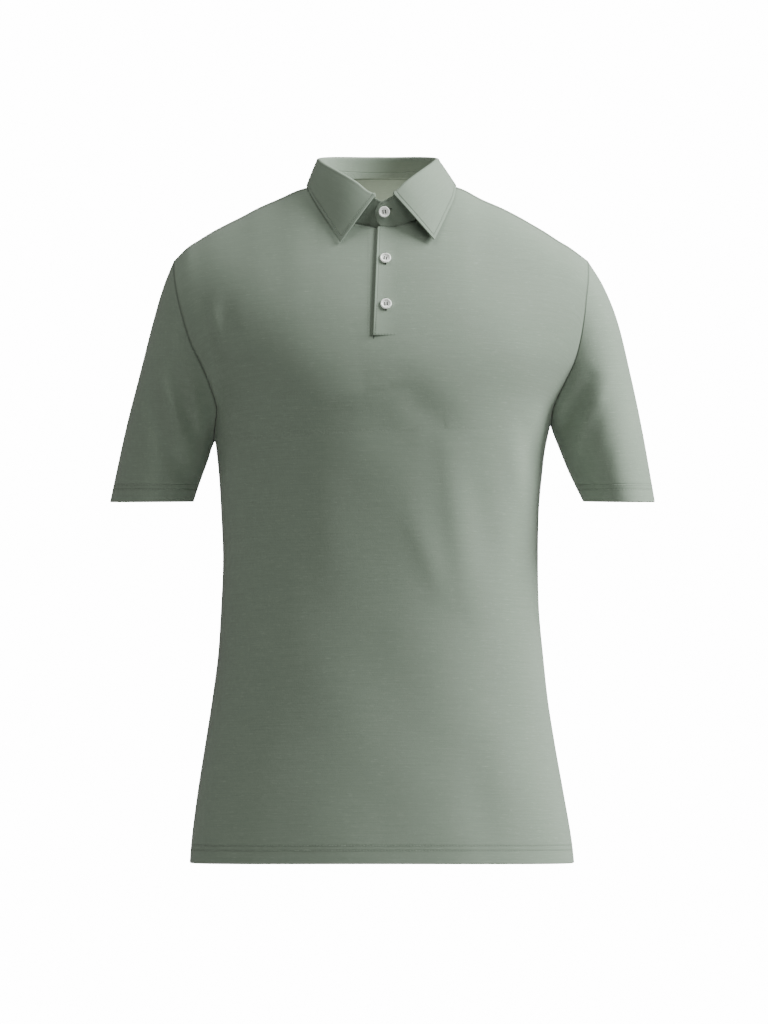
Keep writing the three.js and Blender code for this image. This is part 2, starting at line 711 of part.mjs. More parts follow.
// One cut through the leaf: up from the stand, over the fold and down to the free edge
function leafProfile(turn) {
  const out = outward(turn);
  const layer = standLayer(turn) - COLLAR_CLOTH / 2;
  const start = standHead(turn).addScaledVector(out, layer);
  start.z += COLLAR_SEAM;
  const centre = foldLine(turn).addScaledVector(out, layer + FOLD_RADIUS);
  const points = [start];
  for (const around of [0, 45, 90, 135, 180]) {
    const point = centre.clone().addScaledVector(out, -FOLD_RADIUS * cos(degrees(around)));
    point.z += FOLD_RADIUS * sin(degrees(around));
    points.push(point);
  }
  const foot = leafFoot(turn);
  const over = points.at(-1).clone();
  for (const share of [0.2, 0.4, 0.6, 0.8, 1]) {
    const swell = LEAF_SWELL * sin(Math.PI * share ** 0.8);
    const point = over.clone().lerp(foot, share).addScaledVector(out, swell);
    points.push(point);
  }
  return points;
}

function collarLeaf() {
  const turns = collarTurns([LEAF_END.left], [LEAF_END.right]).reverse();
  const profiles = turns.map(leafProfile);
  const rows = profiles[0].map((point, r) => profiles.map((profile) => profile[r]));
  const ways = sheetFacing(rows);
  return wall(pushed(rows, ways, COLLAR_CLOTH / 2), pushed(rows, ways, -COLLAR_CLOTH / 2));
}

// Buttons: turned discs with a raised rim and four holes
function solid(geometry) {
  geometry.deleteAttribute("normal");
  geometry.deleteAttribute("uv");
  const merged = mergeVertices(geometry, 1e-4);
  return new wasm.Manifold(new wasm.Mesh({
    numProp: 3,
    vertProperties: new Float32Array(merged.attributes.position.array),
    triVerts: new Uint32Array(merged.index.array),
  }));
}

function fromSolid(body3d) {
  const mesh = body3d.getMesh();
  const geometry = new THREE.BufferGeometry();
  geometry.setAttribute("position", new THREE.Float32BufferAttribute(mesh.vertProperties, 3));
  geometry.setIndex([...mesh.triVerts]);
  const flat = geometry.toNonIndexed();
  flat.computeVertexNormals();
  return flat;
}

function buttonGeometry() {
  const { radius, thickness, hole, holeOut } = BUTTON;
  const profile = [
    [0, 0], [0.72, 0], [0.93, 0.18], [1, 0.5], [0.93, 0.9], [0.82, 1], [0.7, 0.92], [0.6, 0.66], [0, 0.62],
  ].map(([out, up]) => new THREE.Vector2(out * radius, up * thickness));
  let disc = solid(new THREE.LatheGeometry(profile, 24).rotateX(degrees(90)));
  for (const [x, y] of [[1, 0], [0, 1], [-1, 0], [0, -1]]) {
    const drill = new THREE.CylinderGeometry(hole, hole, 4 * thickness, 8).rotateX(degrees(90));
    disc = disc.subtract(solid(drill.translate(x * holeOut, y * holeOut, 0)));
  }
  return fromSolid(disc);
}

function button({ name, x, height, turn }) {
  const mesh = node(name, buttonGeometry(), "shell");
  const onStand = height > -NECK.frontDrop + NECK.height;
  let seat;
  let way;
  if (onStand) {
    const standTurn = 180 - asin(x / NECK.half) * THREE.MathUtils.RAD2DEG;
    const low = standPoint(standTurn, 0, 0);
    const high = standPoint(standTurn, 1, 0);
    const share = (height - low.z) / (high.z - low.z);
    seat = low.clone().lerp(high, share);
    way = new THREE.Vector3(1, 0, 0).cross(high.sub(low)).normalize();
  } else {
    const place = placeOn("front", x, height);
    way = facing("front", place.angle, place.climb);
    seat = outFrom("front", place, LAYERS.top);
  }
  mesh.position.copy(seat.addScaledVector(way, BUTTON.seat));
  mesh.quaternion.setFromUnitVectors(new THREE.Vector3(0, 0, 1), way);
  mesh.rotateZ(degrees(45 + turn));
  return mesh;
}

const polo = new THREE.Group();
polo.add(node("front_panel", frontPanel, "jersey"));
polo.add(node("back_panel", backPanel, "jersey"));
polo.add(node("sleeve_left", sleeve("right"), "jersey"));
polo.add(node("sleeve_right", sleeve("left"), "jersey"));
polo.add(node("placket_top", placket(PLACKET_EDGE, SLIT.right - SEAM_GAP, LAYERS.top), "collar"));
polo.add(node("placket_under", placket(SLIT.left + SEAM_GAP, UNDER_END, LAYERS.under), "inside"));
polo.add(node("collar_stand", collarStand(), "collar"));
polo.add(node("collar_leaf", collarLeaf(), "collar"));
for (const place of BUTTONS) {
  polo.add(button(place));
}

export default polo;
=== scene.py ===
# %% [markdown]
# # A polo shirt in fine jersey
# The shirt stands filled out as if somebody wore it, with nobody inside. A real one is cut from flat
# cloth and sewn, so the scene makes each cut piece by itself: front, back, two sleeves, two strips of
# placket, a collar stand and a collar leaf. Three ways were open: cut flat shapes and let a cloth
# simulation fill them, sculpt a body and shrink cloth on to it, or work out each piece as a sheet of
# points. The sheets win here, because the outline is known from measuring and a simulation would lose it.

# %% Start
import math

import bpy
import numpy as np
from mathutils import Matrix, Vector


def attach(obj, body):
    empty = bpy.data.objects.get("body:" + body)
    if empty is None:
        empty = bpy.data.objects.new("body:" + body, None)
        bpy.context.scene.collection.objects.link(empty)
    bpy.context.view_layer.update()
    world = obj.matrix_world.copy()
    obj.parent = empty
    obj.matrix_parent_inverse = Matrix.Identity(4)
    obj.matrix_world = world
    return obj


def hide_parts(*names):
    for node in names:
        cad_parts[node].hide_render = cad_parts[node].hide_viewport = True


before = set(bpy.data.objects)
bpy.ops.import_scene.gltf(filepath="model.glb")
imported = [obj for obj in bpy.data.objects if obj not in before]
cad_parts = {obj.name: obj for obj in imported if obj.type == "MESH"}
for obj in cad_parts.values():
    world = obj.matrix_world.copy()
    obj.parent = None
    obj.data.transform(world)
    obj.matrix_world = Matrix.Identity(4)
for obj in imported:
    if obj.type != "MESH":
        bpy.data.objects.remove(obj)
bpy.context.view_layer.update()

# %% [markdown]
# ## Measures
# A pattern cutter keeps measures in tables. These are in millimetres, read across the front, so left and
# right are the viewer's. A smooth curve runs through each column, and the pieces read widths and depths
# from it at any height.

# %% Reading a table
def table(names, text):
    values = np.array(text.split(), float).reshape(-1, len(names.split()))
    return dict(zip(names.split(), values.T))


def curve(rows, key, column):
    """One column as a smooth curve over another, level beyond its ends."""
    order = np.argsort(rows[key])
    place, value = rows[key][order], rows[column][order]
    after = np.minimum(np.arange(len(place)) + 1, len(place) - 1)
    before = np.maximum(np.arange(len(place)) - 1, 0)
    slope = (value[after] - value[before]) / (place[after] - place[before])

    def read(at):
        at = np.clip(at, place[0], place[-1])
        i = np.clip(np.searchsorted(place, at) - 1, 0, len(place) - 2)
        span = place[i + 1] - place[i]
        s = (at - place[i]) / span
        ends = slope[i] * s * (1 - s) ** 2 - slope[i + 1] * s * s * (1 - s)
        return value[i] + (value[i + 1] - value[i]) * s * s * (3 - 2 * s) + ends * span

    return read


def lerp(a, b, share):
    return a + (b - a) * share


def smooth(share):
    return share * share * (3 - 2 * share)


# %% Body measures
BODY_WIDTHS = table("height left right", """
    -712 202.5 202.5   -681 199.9 198.8   -633 193.6 190.4   -586 186.2 182.0   -539 178.8 174.6
    -491 172.5 169.4   -444 169.4 165.2   -391 167.3 164.1   -337 169.4 165.2   -303 171.5 168.3
    -276 174.2 171.5   -250 177.5 177.0""")
BODY_DEPTHS = table("height front back", """
    -712 121 114   -633 118 110   -539 115 101   -444 115 96   -391 117 98   -337 121.5 104
    -258 128.5 113   -215 133 116   -180 134.5 118   -140 131 119   -100 124 118   -46 114 112   14 108 107""")
ARMHOLE = table("height left right", """
    -268 177.0 176.0   -250 174.0 177.0   -232 172.0 178.6   -206 180.0 190.0   -187 188.0 199.0
    -166 198.5 205.0   -138 207.5 210.0   -117 213.0 212.5   -99 216.5 215.0   -77 219.0 216.5""")
SHOULDER = table("height left right", """
    4 68 68   -2 89 86   -11.6 109 104   -21 130 126   -29.5 146 143
    -38 163 158   -46 178 171.5   -55 192.5 185   -63 205 198   -77 219 216.5""")
HEM = {"side": -709, "front": 8, "back": -3}
ARMPIT = {"left": -266, "right": -250}
ARMHOLE_DEPTH = {"front": 63, "back": 58}
SHOULDER_TIP = -77
SECTION_POWER = 2.3
SHOULDER_POWER = {"front": 2, "back": 2.6}
NECK_HALF, NECK_HEIGHT = 68, 4
NECK_RISE = {"front": -50, "back": 10}
RIDGE_IN_NECK = {"front": 10, "back": 26}

SIDES = ("left", "right")
half_width = {side: curve(BODY_WIDTHS, "height", side) for side in SIDES}
armhole_out = {side: curve(ARMHOLE, "height", side) for side in SIDES}
shoulder_top = {side: curve(SHOULDER, side, "height") for side in SIDES}
depth_of = {panel: curve(BODY_DEPTHS, "height", panel) for panel in ("front", "back")}
print("chest:", round(2 * float(half_width["left"](-276))), "mm across at the armpits")

# %% [markdown]
# ## The form of the body
# Think of the body as columns of cloth that climb from the hem to the shoulder seam. A place on it is an
# angle, 0 at the centre and 90 degrees at a side seam, and a climb, -1 at the hem, 0 at the armpit and 1
# at the shoulder. One function turns both into a point, for thousands of places at once.

# %% A place on the body
def unit(ways):
    return ways / np.linalg.norm(ways, axis=-1, keepdims=True)


def round_off(share):
    return np.maximum(1 - share**SECTION_POWER, 0) ** (1 / SECTION_POWER)


def sided(curves, right, at):
    return np.where(right, curves["right"](at), curves["left"](at))


def ridge(panel, x):
    """Height of the line that a column climbs to, carried on smoothly inside the neck."""
    out = np.abs(x)
    inside = NECK_HEIGHT + RIDGE_IN_NECK[panel] * (1 - (out / NECK_HALF) ** 2)
    return np.where(out >= NECK_HALF, sided(shoulder_top, x >= 0, out), inside)


def column_ends(panel, angle):
    """Heights of a column's hem and of its armpit."""
    hem = HEM["side"] + HEM[panel] * np.cos(np.radians(angle))
    return hem, lerp(ARMPIT["left"], ARMPIT["right"], (1 + np.sin(np.radians(angle))) / 2)


def form(panel, angle, climb):
    angle, climb = np.broadcast_arrays(np.asarray(angle, float), np.asarray(climb, float))
    across, right = np.sin(np.radians(angle)), angle >= 0
    front = -1 if panel == "front" else 1
    hem, armpit = column_ends(panel, angle)
    z = lerp(hem, armpit, climb + 1)
    y = front * depth_of[panel](z) * round_off(np.abs(across))
    low = np.stack([across * sided(half_width, right, z), y, z], -1)

    power = 2 / SHOULDER_POWER[panel]
    quarter = np.clip(climb, 0, 1) * np.pi / 2
    up, over = np.sin(quarter) ** power, np.maximum(np.cos(quarter), 0) ** power
    low_edge = np.where(right, ARMPIT["right"], ARMPIT["left"])
    edge = lerp(low_edge, SHOULDER_TIP, up)
    spread = np.sign(across) * np.abs(across) ** 3
    base, narrow = across * sided(half_width, right, armpit), sided(half_width, right, low_edge)
    x, top_x = (base + spread * (sided(armhole_out, right, at) - narrow) for at in (edge, SHOULDER_TIP))
    z = lerp(armpit, ridge(panel, top_x), up)
    middle, half = (low_edge + SHOULDER_TIP) / 2, (SHOULDER_TIP - low_edge) / 2
    oval = ARMHOLE_DEPTH[panel] * np.sqrt(np.maximum(1 - ((edge - middle) / half) ** 2, 0))
    share = np.minimum(oval / np.maximum(depth_of[panel](edge) * over, 1e-9), 0.97)
    reach = sided(armhole_out, right, edge) / round_off(share)
    y = front * depth_of[panel](z) * over * round_off(np.minimum(np.abs(x) / reach, 1))
    high = np.stack([x, np.where(over < 1e-4, 0, y), z], -1)
    return np.where((climb <= 0)[..., None], low, high)


EASE_REACH, EASE_SPREAD = 0.1, 0.14
EASE_STEPS = ((-1, 0.1), (-0.6, 0.2), (-0.2, 0.2), (0.2, 0.2), (0.6, 0.2), (1, 0.1))


def side_fade(angle, power):
    """1 over most of a panel, 0 at its side seams."""
    return 1 - np.abs(np.sin(np.radians(angle))) ** power


def body(panel, angle, climb):
    """The form with the change at the armpits eased, except at the side seams."""
    reach = EASE_REACH * np.exp(-((climb / EASE_SPREAD) ** 2)) * side_fade(angle, 8)
    if np.max(reach) < 1e-4:
        return form(panel, angle, climb)
    return sum(share * form(panel, angle, climb + step * reach) for step, share in EASE_STEPS)


def facing(panel, angle, climb):
    """The way that the cloth faces, outwards."""
    right, left = np.minimum(angle + 0.4, 89.99), np.maximum(angle - 0.4, -89.99)
    above, below = np.minimum(climb + 0.004, 1), np.maximum(climb - 0.004, -1)
    across = body(panel, right, climb) - body(panel, left, climb)
    rise = body(panel, angle, above) - body(panel, angle, below)
    return unit(np.cross(across, rise) * (1 if panel == "front" else -1))


print("front at the chest:", body("front", 0, 0.1).round(1))

# %% [markdown]
# ## Finding places
# A maker says "eight millimetres left of the centre, at the height of the second button", so the scene has
# to turn that back into an angle and a climb. Halving an interval again and again finds it, for a whole
# array of places together.

# %% Halving
HALVINGS = 23


def solve(test, low, high, shape):
    a, b = np.full(shape, float(low)), np.full(shape, float(high))
    for _ in range(HALVINGS):
        middle = (a + b) / 2
        past = test(middle)
        a, b = np.where(past, a, middle), np.where(past, middle, b)
    return (a + b) / 2


def neck_line(panel, x):
    return NECK_HEIGHT + NECK_RISE[panel] * np.sqrt(np.maximum(1 - (x / NECK_HALF) ** 2, 0))


def last_climb(panel, angle):
    """Where a column ends: at the shoulder seam, or sooner at the neck seam."""
    def past_neck(climb):
        here = form(panel, angle, climb)
        return here[..., 2] > neck_line(panel, here[..., 0])

    found = solve(past_neck, 0.2, 1, np.shape(angle))
    return np.where(np.abs(form(panel, angle, 1)[..., 0]) >= NECK_HALF - 0.01, 1, found)


def column_at(panel, x):
    x = np.asarray(x, float)
    return solve(lambda angle: form(panel, angle, last_climb(panel, angle))[..., 0] > x, -90, 90, x.shape)


def place_on(panel, x, height):
    x, height = np.broadcast_arrays(np.asarray(x, float), np.asarray(height, float))

    def climb_to(angle):
        return solve(lambda climb: form(panel, angle, climb)[..., 2] > height, -1, 1, x.shape)

    angle = solve(lambda at: form(panel, at, climb_to(at))[..., 0] > x, -90, 90, x.shape)
    return angle, climb_to(angle)


def out_from(panel, place, distance):
    return body(panel, *place) + facing(panel, *place) * np.asarray(distance)[..., None]


print("second button lies at angle, climb:", [round(float(v), 3) for v in place_on("front", 3.6, -79.5)])

# %% [markdown]
# ## Folds
# Worn jersey pulls from the armholes and falls in long soft ridges from the chest. Simulated folds come
# out where they like, and these have places of their own, so each one is a line on the cloth with a width
# and a height. The height fades along the line, and one side is steeper than the other, as in real folds.

# %% Listed folds
def read_folds(text):
    """Folds between slashes: height, width to the left, width to the right, then x and z along the line."""
    rows = [[float(v) for v in fold.split()] for fold in text.split("/")]
    return [(list(zip(row[3::2], row[4::2])), *row[:3]) for row in rows]


FOLDS = {
    "front": read_folds("""
        -4.6 9 9 -185 -126 -182 -154 -176 -178 -170 -203 -168 -244 -165 -285 /
        3 8 8 -176 -128 -171 -165 / -2.6 8 10 -163 -131 -157 -165 / 1.4 12 16 -150 -150 -140 -215 /
        -4.6 9 9 -245 -200 -237 -240 -222 -277 -205 -304 / 3.4 8 8 -231 -200 -214 -240 -200 -277 /
        -3.4 8 7 -216 -190 -206 -226 -196 -258 / 2.2 7 7 -198 -205 -190 -250 /
        -4.6 8 9 216 -203 192 -243 184 -266 / 3.2 9 9 238 -205 214 -245 202 -285 /
        -2.8 8 9 222 -238 211 -271 202 -302 / 1 10 10 256 -250 240 -300 /
        2.1 15 42 -126 -195 -58 -221 -18 -216 / -1.7 17 18 22 -212 40 -233 68 -254 /
        1.7 13 18 67 -270 75 -340 88 -434 / 1.3 12 16 29 -346 60 -420 / -1.2 15 18 98 -300 112 -400 /
        1.8 12 15 134 -262 151 -340 / -1.8 12 10 150 -255 166 -330 / -1.3 17 22 -86 -276 -81 -392 /
        1 18 22 -60 -300 -52 -420 / -1.2 26 26 -30 -250 40 -262 / -1.4 20 20 95 -590 112 -700 /
        1.4 24 24 -120 -560 -135 -700"""),
    "back": read_folds("""
        3 16 18 -60 -250 -70 -330 -78 -420 / 2.8 18 15 66 -240 76 -320 84 -400 /
        1.8 18 20 20 -300 10 -440 / -3.8 13 15 150 -180 142 -235 128 -300 / 2 14 14 132 -190 118 -280 /
        -3.8 15 13 -152 -190 -140 -250 -126 -310 / 2 14 14 -134 -200 -116 -290 /
        2.4 9 10 170 -150 165 -215 / 2.4 10 9 -172 -150 -167 -220 / -4.2 9 9 228 -205 214 -245 200 -285 /
        2.6 9 9 246 -215 228 -285 / -4.2 9 9 -228 -200 -213 -240 -198 -288 /
        2.6 9 9 -248 -215 -228 -290 / -1.2 14 18 -20 -60 25 -63 / 1.6 24 24 100 -560 118 -700 /
        -1.4 22 22 -90 -590 -104 -700"""),
}


def one_fold(x, z, line, height, left, right):
    best = np.full(np.shape(x), np.inf)
    shape = np.zeros(np.shape(x))
    for part, ((x1, z1), (x2, z2)) in enumerate(zip(line, line[1:])):
        run_x, run_z = x2 - x1, z2 - z1
        length = math.hypot(run_x, run_z)
        along = np.clip(((x - x1) * run_x + (z - z1) * run_z) / length**2, 0, 1)
        off_x, off_z = x - x1 - along * run_x, z - z1 - along * run_z
        away = np.hypot(off_x, off_z)
        width = np.where(off_x * run_z - off_z * run_x > 0, left, right)
        fade = 0.4 + 0.6 * np.sin(np.pi * (part + along) / (len(line) - 1))
        near = away < best
        best = np.where(near, away, best)
        shape = np.where(near, height * fade * np.exp(-((away / width) ** 2)), shape)
    return shape


def folded(panel, x, z):
    drift = (0.35 * np.sin(x / 31 + z / 57 + 1) + 0.3 * np.sin(x / 47 - z / 39)
             + 0.2 * np.sin(x / 19 + z / 23 + 2))
    return drift + sum(one_fold(x, z, *fold) for fold in FOLDS[panel])


def dressed(panel, place, lift=0.0):
    """Points on the cloth as worn, folds and all."""
    base = body(panel, *place)
    out = folded(panel, base[..., 0], base[..., 2]) * side_fade(place[0], 10)
    return base + facing(panel, *place) * (out + lift)[..., None]


print("folds on the front:", len(FOLDS["front"]), "and on the back:", len(FOLDS["back"]))

# %% [markdown]
# ## From points to cloth
# Each piece is a grid of points, so one maker serves them all. It gives the grid a thickness and a softly
# rounded rim, and writes three things that the finish reads later: a flat map of the cloth in metres, how
# far each point is from the free edge, and how far it is from the nearest seam. A Solidify modifier could
# do the thickness, but it can't make the hem thicker than the rest and keep the rim round.

# %% A cloth shell
MM = 0.001


def ways_out(points, wrap=False):
    across = np.roll(points, -1, 1) - np.roll(points, 1, 1) if wrap else np.gradient(points, axis=1)
    return unit(np.cross(across, np.gradient(points, axis=0)))


def run(points, axis):
    """Distance walked along a grid, from its first row or column."""
    steps = np.linalg.norm(np.diff(points, axis=axis), axis=-1)
    start = np.zeros_like(np.take(steps, [0], axis))
    return np.concatenate([start, np.cumsum(steps, axis)], axis)


def to_sides(points):
    """Distance up from the first row, and distance to the nearest of the other three sides."""
    up, across = run(points, 0), run(points, 1)
    return up, np.minimum(np.minimum(across, across[:, -1:] - across), up[-1:] - up)


def shell(name, outer, thickness, edge, seam, wrap=False, keep=None):
    """outer is a grid of points in mm, rows by columns, that shows its outer face anticlockwise."""
    rows, columns = outer.shape[:2]
    depth = np.broadcast_to(thickness, (rows, columns))[..., None]
    ways = ways_out(outer, wrap)
    inner = outer - ways * depth
    push = np.zeros_like(outer)
    push[0] += outer[0] - outer[1]
    push[-1] += outer[-1] - outer[-2]
    if not wrap:
        push[:, 0] += outer[:, 0] - outer[:, 1]
        push[:, -1] += outer[:, -1] - outer[:, -2]
    size = np.linalg.norm(push, axis=-1, keepdims=True)
    rim = (outer + inner) / 2 + push / np.maximum(size, 1e-9) * 0.35 * depth
    points = np.stack([outer, rim, inner]).reshape(-1, 3)

    cells_across = columns if wrap else columns - 1
    kept = np.ones((rows - 1, cells_across), bool) if keep is None else keep
    r, c = np.nonzero(kept)

    def at(layer, row, column):
        return np.stack([np.full(len(row), layer), row, column], -1)

    corners = [(r, c), (r, c + 1), (r + 1, c + 1), (r + 1, c)]
    faces = [np.stack([at(0, *k) for k in corners], 1), np.stack([at(2, *k) for k in corners[::-1]], 1)]
    around = np.pad(kept, 1)
    if wrap:
        around[1:-1, 0], around[1:-1, -1] = kept[:, -1], kept[:, 0]
    for side, (down, aside) in enumerate([(-1, 0), (0, 1), (1, 0), (0, -1)]):
        free = ~around[r + 1 + down, c + 1 + aside]
        (ra, ca), (rb, cb) = corners[side], corners[(side + 1) % 4]
        ra, ca, rb, cb = ra[free], ca[free], rb[free], cb[free]
        for a, b in ((0, 1), (1, 2)):
            faces.append(np.stack([at(a, ra, ca), at(b, ra, ca), at(b, rb, cb), at(a, rb, cb)], 1))
    faces = np.concatenate(faces)

    flat = np.stack([run(outer, 1), run(outer, 0)], -1)
    if wrap:
        edge, seam = (np.concatenate([v, v[:, :1]], 1) for v in (edge, seam))
        step = np.linalg.norm(outer[:, :1] - outer[:, -1:], axis=-1)
        flat = np.concatenate([flat, flat[:, -1:] + np.stack([step, 0 * step], -1)], 1)
    index = (faces[..., 0] * rows + faces[..., 1]) * columns + faces[..., 2] % columns
    used, index = np.unique(index, return_inverse=True)
    mesh = bpy.data.meshes.new(name)
    mesh.from_pydata((points[used] * MM).tolist(), [], index.reshape(-1, 4).tolist())
    corner = faces.reshape(-1, 3)
    uv = mesh.uv_layers.new(name="flat")
    uv.data.foreach_set("uv", (flat[corner[:, 1], corner[:, 2]] * MM).astype(np.float32).ravel())
    for label, values in (("to_edge", edge), ("to_seam", seam)):
        layer = mesh.attributes.new(label, "FLOAT", "CORNER")
        layer.data.foreach_set("value", (values[corner[:, 1], corner[:, 2]] * MM).astype(np.float32))
    mesh.shade_smooth()
    mesh.set_sharp_from_angle(angle=math.radians(35))
    piece = bpy.data.objects.new(name, mesh)
    bpy.context.scene.collection.objects.link(piece)
    area = sum(p.area for p in mesh.polygons) / 2
    print(name, "faces:", len(mesh.polygons), "cloth:", round(area, 4), "m2")
    return piece


# %% [markdown]
# ## Front and back
# The front is one cut piece with a slit for the placket, the back is one plain piece. Their rows lie
# closer at the hem, where the turned cloth is double, and a row ends exactly at the foot of the slit, so
# that cells can be left out above it without a ragged edge.

# %% Rows and columns of a panel
JERSEY, HEM_CLOTH, HEM_TURN = 1.0, 2.0, 20
HEM_ROWS, CUFF_ROWS = (13.5, 18.5), (12.5, 17)
SLIT_LEFT, SLIT_RIGHT, SLIT_FOOT = -12.3, 15.0, -160
SIDE_SEAM_GAP, OVAL_STEP, LEVEL_SHARE = 0.02, 2.0, 0.46


def spaced(stops, steps):
    """Places from the first stop to the last, with a step of its own between each two."""
    parts = [np.linspace(a, b, max(round((b - a) / step), 1), endpoint=False)
             for a, b, step in zip(stops, stops[1:], steps)]
    return np.concatenate([*parts, stops[-1:]])


def oval_climb(panel, oval):
    """Climb of the armhole edge at a turn round its oval, 0 at the armpit and 180 at the shoulder."""
    up = ((1 - np.cos(np.radians(oval))) / 2) ** (SHOULDER_POWER[panel] / 2)
    return 2 / np.pi * np.arcsin(np.minimum(up, 1))


slit_climb = float(place_on("front", 0, SLIT_FOOT)[1])
slit_oval = float(solve(lambda oval: oval_climb("front", oval) > slit_climb, 0, 180, ()))
hem_length = (ARMPIT["left"] + ARMPIT["right"]) / 2 - HEM["side"]
low_climbs = spaced([0, 12, 21, hem_length], [2.4, 1.0, 3.9])[:-1] / hem_length - 1
high_ovals = spaced([0, slit_oval, 180], [OVAL_STEP, OVAL_STEP])


def panel_places(panel, angles):
    """Rows run level at first, and then close up towards the neck seam by even steps in height."""
    power = 2 / SHOULDER_POWER[panel]

    def rise(climb):
        return np.sin(climb * np.pi / 2) ** power

    shares, level = oval_climb(panel, high_ovals)[:, None], rise(LEVEL_SHARE)
    part = np.maximum(rise(shares) - level, 0) / (1 - level)
    heights = lerp(level, rise(last_climb(panel, angles)), part)
    closing = 2 / np.pi * np.arcsin(np.minimum(heights ** (1 / power), 1))
    high = np.where(shares < LEVEL_SHARE, shares, closing)
    climbs = np.concatenate([np.repeat(low_climbs[:, None], len(angles), 1), high])
    return np.broadcast_to(angles, climbs.shape), climbs


def panel_angles(panel):
    neck_left, neck_right = column_at(panel, [-NECK_HALF, NECK_HALF])
    left = spaced([-90, -88.5, -84, neck_left], [0.5, 0.9, 1.6])
    right = spaced([neck_right, 84, 88.5, 90], [1.6, 0.9, 0.5])
    stops = [-NECK_HALF, -66, -60, SLIT_LEFT, SLIT_RIGHT, 60, 66, NECK_HALF]
    inside = spaced(stops, [1, 2, 2.9, 2.75, 2.9, 2, 1])
    return np.concatenate([left[:-1], column_at(panel, inside), right[1:]])


def hemmed(name, points, **more):
    """A shell whose first rows are turned up double."""
    up, seam = to_sides(points)
    return shell(name, points, np.where(up < HEM_TURN, HEM_CLOTH, JERSEY), up, seam, **more)


def panel(name, side):
    front, angles = side == "front", panel_angles(side)
    points = dressed(side, panel_places(side, angles if front else angles[::-1]))
    y = points[..., 1]
    points[..., 1] = np.minimum(y, -SIDE_SEAM_GAP) if front else np.maximum(y, SIDE_SEAM_GAP)
    if not front:
        return hemmed(name, points)
    middle = (points[-1, 1:, 0] + points[-1, :-1, 0]) / 2
    slit = (middle > SLIT_LEFT) & (middle < SLIT_RIGHT)
    foot_row = len(low_climbs) + round(slit_oval / OVAL_STEP)
    above = np.arange(len(points) - 1) >= foot_row
    return hemmed(name, points, keep=~(above[:, None] & slit))


front_cloth = panel("front_cloth", "front")
back_cloth = panel("back_cloth", "back")

# %% [markdown]
# ## Sleeves
# A set-in sleeve starts as the armhole's own oval and closes towards a round cuff. Each ring of points is
# mixed from the armhole edge and a plain tube, so it meets both panels without a gap. Lofting a surface
# between two curves would do the same, but rings by rule keep the folds in place.

# %% Two sleeves
SLEEVES = {
    "right": table("along outer_x outer_z inner_x inner_z depth", """
        0 216.5 -77 177 -250 61   0.15 232.5 -103 180.5 -260 62   0.35 247.5 -140 186.5 -275 63
        0.6 261 -195 195 -296 64   0.8 273.5 -254 203 -313 64   1 287 -330 211.5 -330 63"""),
    "left": table("along outer_x outer_z inner_x inner_z depth", """
        0 219 -77 177 -266 61   0.15 229.5 -103 179.5 -273 62   0.35 240.5 -140 183 -286 63
        0.6 254.5 -195 188.5 -302 64   0.8 269.5 -254 193.5 -316 64   1 286 -330 198 -330 63"""),
}


def sleeve_points(side, along, oval, back):
    """Points of a sleeve at shares along it and turns round its oval, on the back or the front."""
    out = 1 if side == "right" else -1
    line = {name: curve(SLEEVES[side], "along", name) for name in SLEEVES[side]}
    along, oval, back = np.broadcast_arrays(np.asarray(along, float), oval, back)
    reach = (1 - np.cos(np.radians(oval))) / 2
    way = np.where(back, 1, -1)

    def section(at):
        x = out * lerp(line["inner_x"](at), line["outer_x"](at), reach)
        y = way * line["depth"](at) * np.sin(np.radians(oval))
        return np.stack([x, y, lerp(line["inner_z"](at), line["outer_z"](at), reach)], -1)

    edges = {name: body(name, 90.0 * out, oval_climb(name, oval)) for name in ("front", "back")}
    edge = np.where(back[..., None], edges["back"], edges["front"])
    points = section(along) + (edge - section(0 * along)) * ((1 - along) ** 3)[..., None]
    x, z = points[..., 0], points[..., 2]
    out_by = np.where(back, folded("back", x, z), folded("front", x, z))
    points[..., 1] += way * out_by * np.minimum(along * 6, 1) * np.sin(np.radians(oval))
    return points


def ring(turns):
    """Turns round a sleeve as turns of its oval, and which of them are on the back."""
    back = turns > 180
    return np.where(back, 360 - turns, turns), back


def sleeve(name, side):
    turns = spaced([0, 360], [2.9])[:-1] * (1 if side == "right" else -1) % 360
    alongs = spaced([0, 0.03, 0.9, 1], [0.008, 0.0125, 0.008])[:, None]
    return hemmed(name, sleeve_points(side, alongs, *ring(turns))[::-1], wrap=True)


sleeve_left = sleeve("sleeve_left_cloth", "right")
sleeve_right = sleeve("sleeve_right_cloth", "left")

# %% [markdown]
# ## Placket
# Two strips close the slit. The buttonhole strip lies on top, and its free edge stands a little off the
# strip below, which gives the dark line down the front. On the other side it runs level into the front.

# %% Two strips
COLLAR_CLOTH, FAR = 1.5, 99


def strip(name, left, right, lift, stitched):
    """left and right give where a side of the strip lies at the foot and at the neck."""
    shares, rows = spaced([0, 0.1, 1], [0.03, 0.07]), spaced([0, 0.02, 1], [0.008, 0.02])[:, None]
    x = lerp(lerp(*left, rows), lerp(*right, rows), shares)
    z = lerp(SLIT_FOOT + 0.1, neck_line("front", x), rows)
    points = dressed("front", place_on("front", x, z), lift(shares, rows))
    up, across = run(points, 0), run(points, 1)
    return shell(name, points, COLLAR_CLOTH, np.where(stitched, across, FAR), up[-1:] - up)


def top_lift(share, row):
    return 1.9 * (1 - share) ** 2 + 0.4 * np.sin(np.pi * row) * (1 - share) ** 4


def under_lift(share, _row):
    return lerp(-0.5, -1.8, smooth(np.minimum(share * 2, 1)))


placket_top = strip("placket_top_cloth", (-8.6, -4.0), (15.0, 15.0), top_lift, True)
placket_under = strip("placket_under_cloth", (-12.6, -12.6), (11.0, 11.0), under_lift, False)

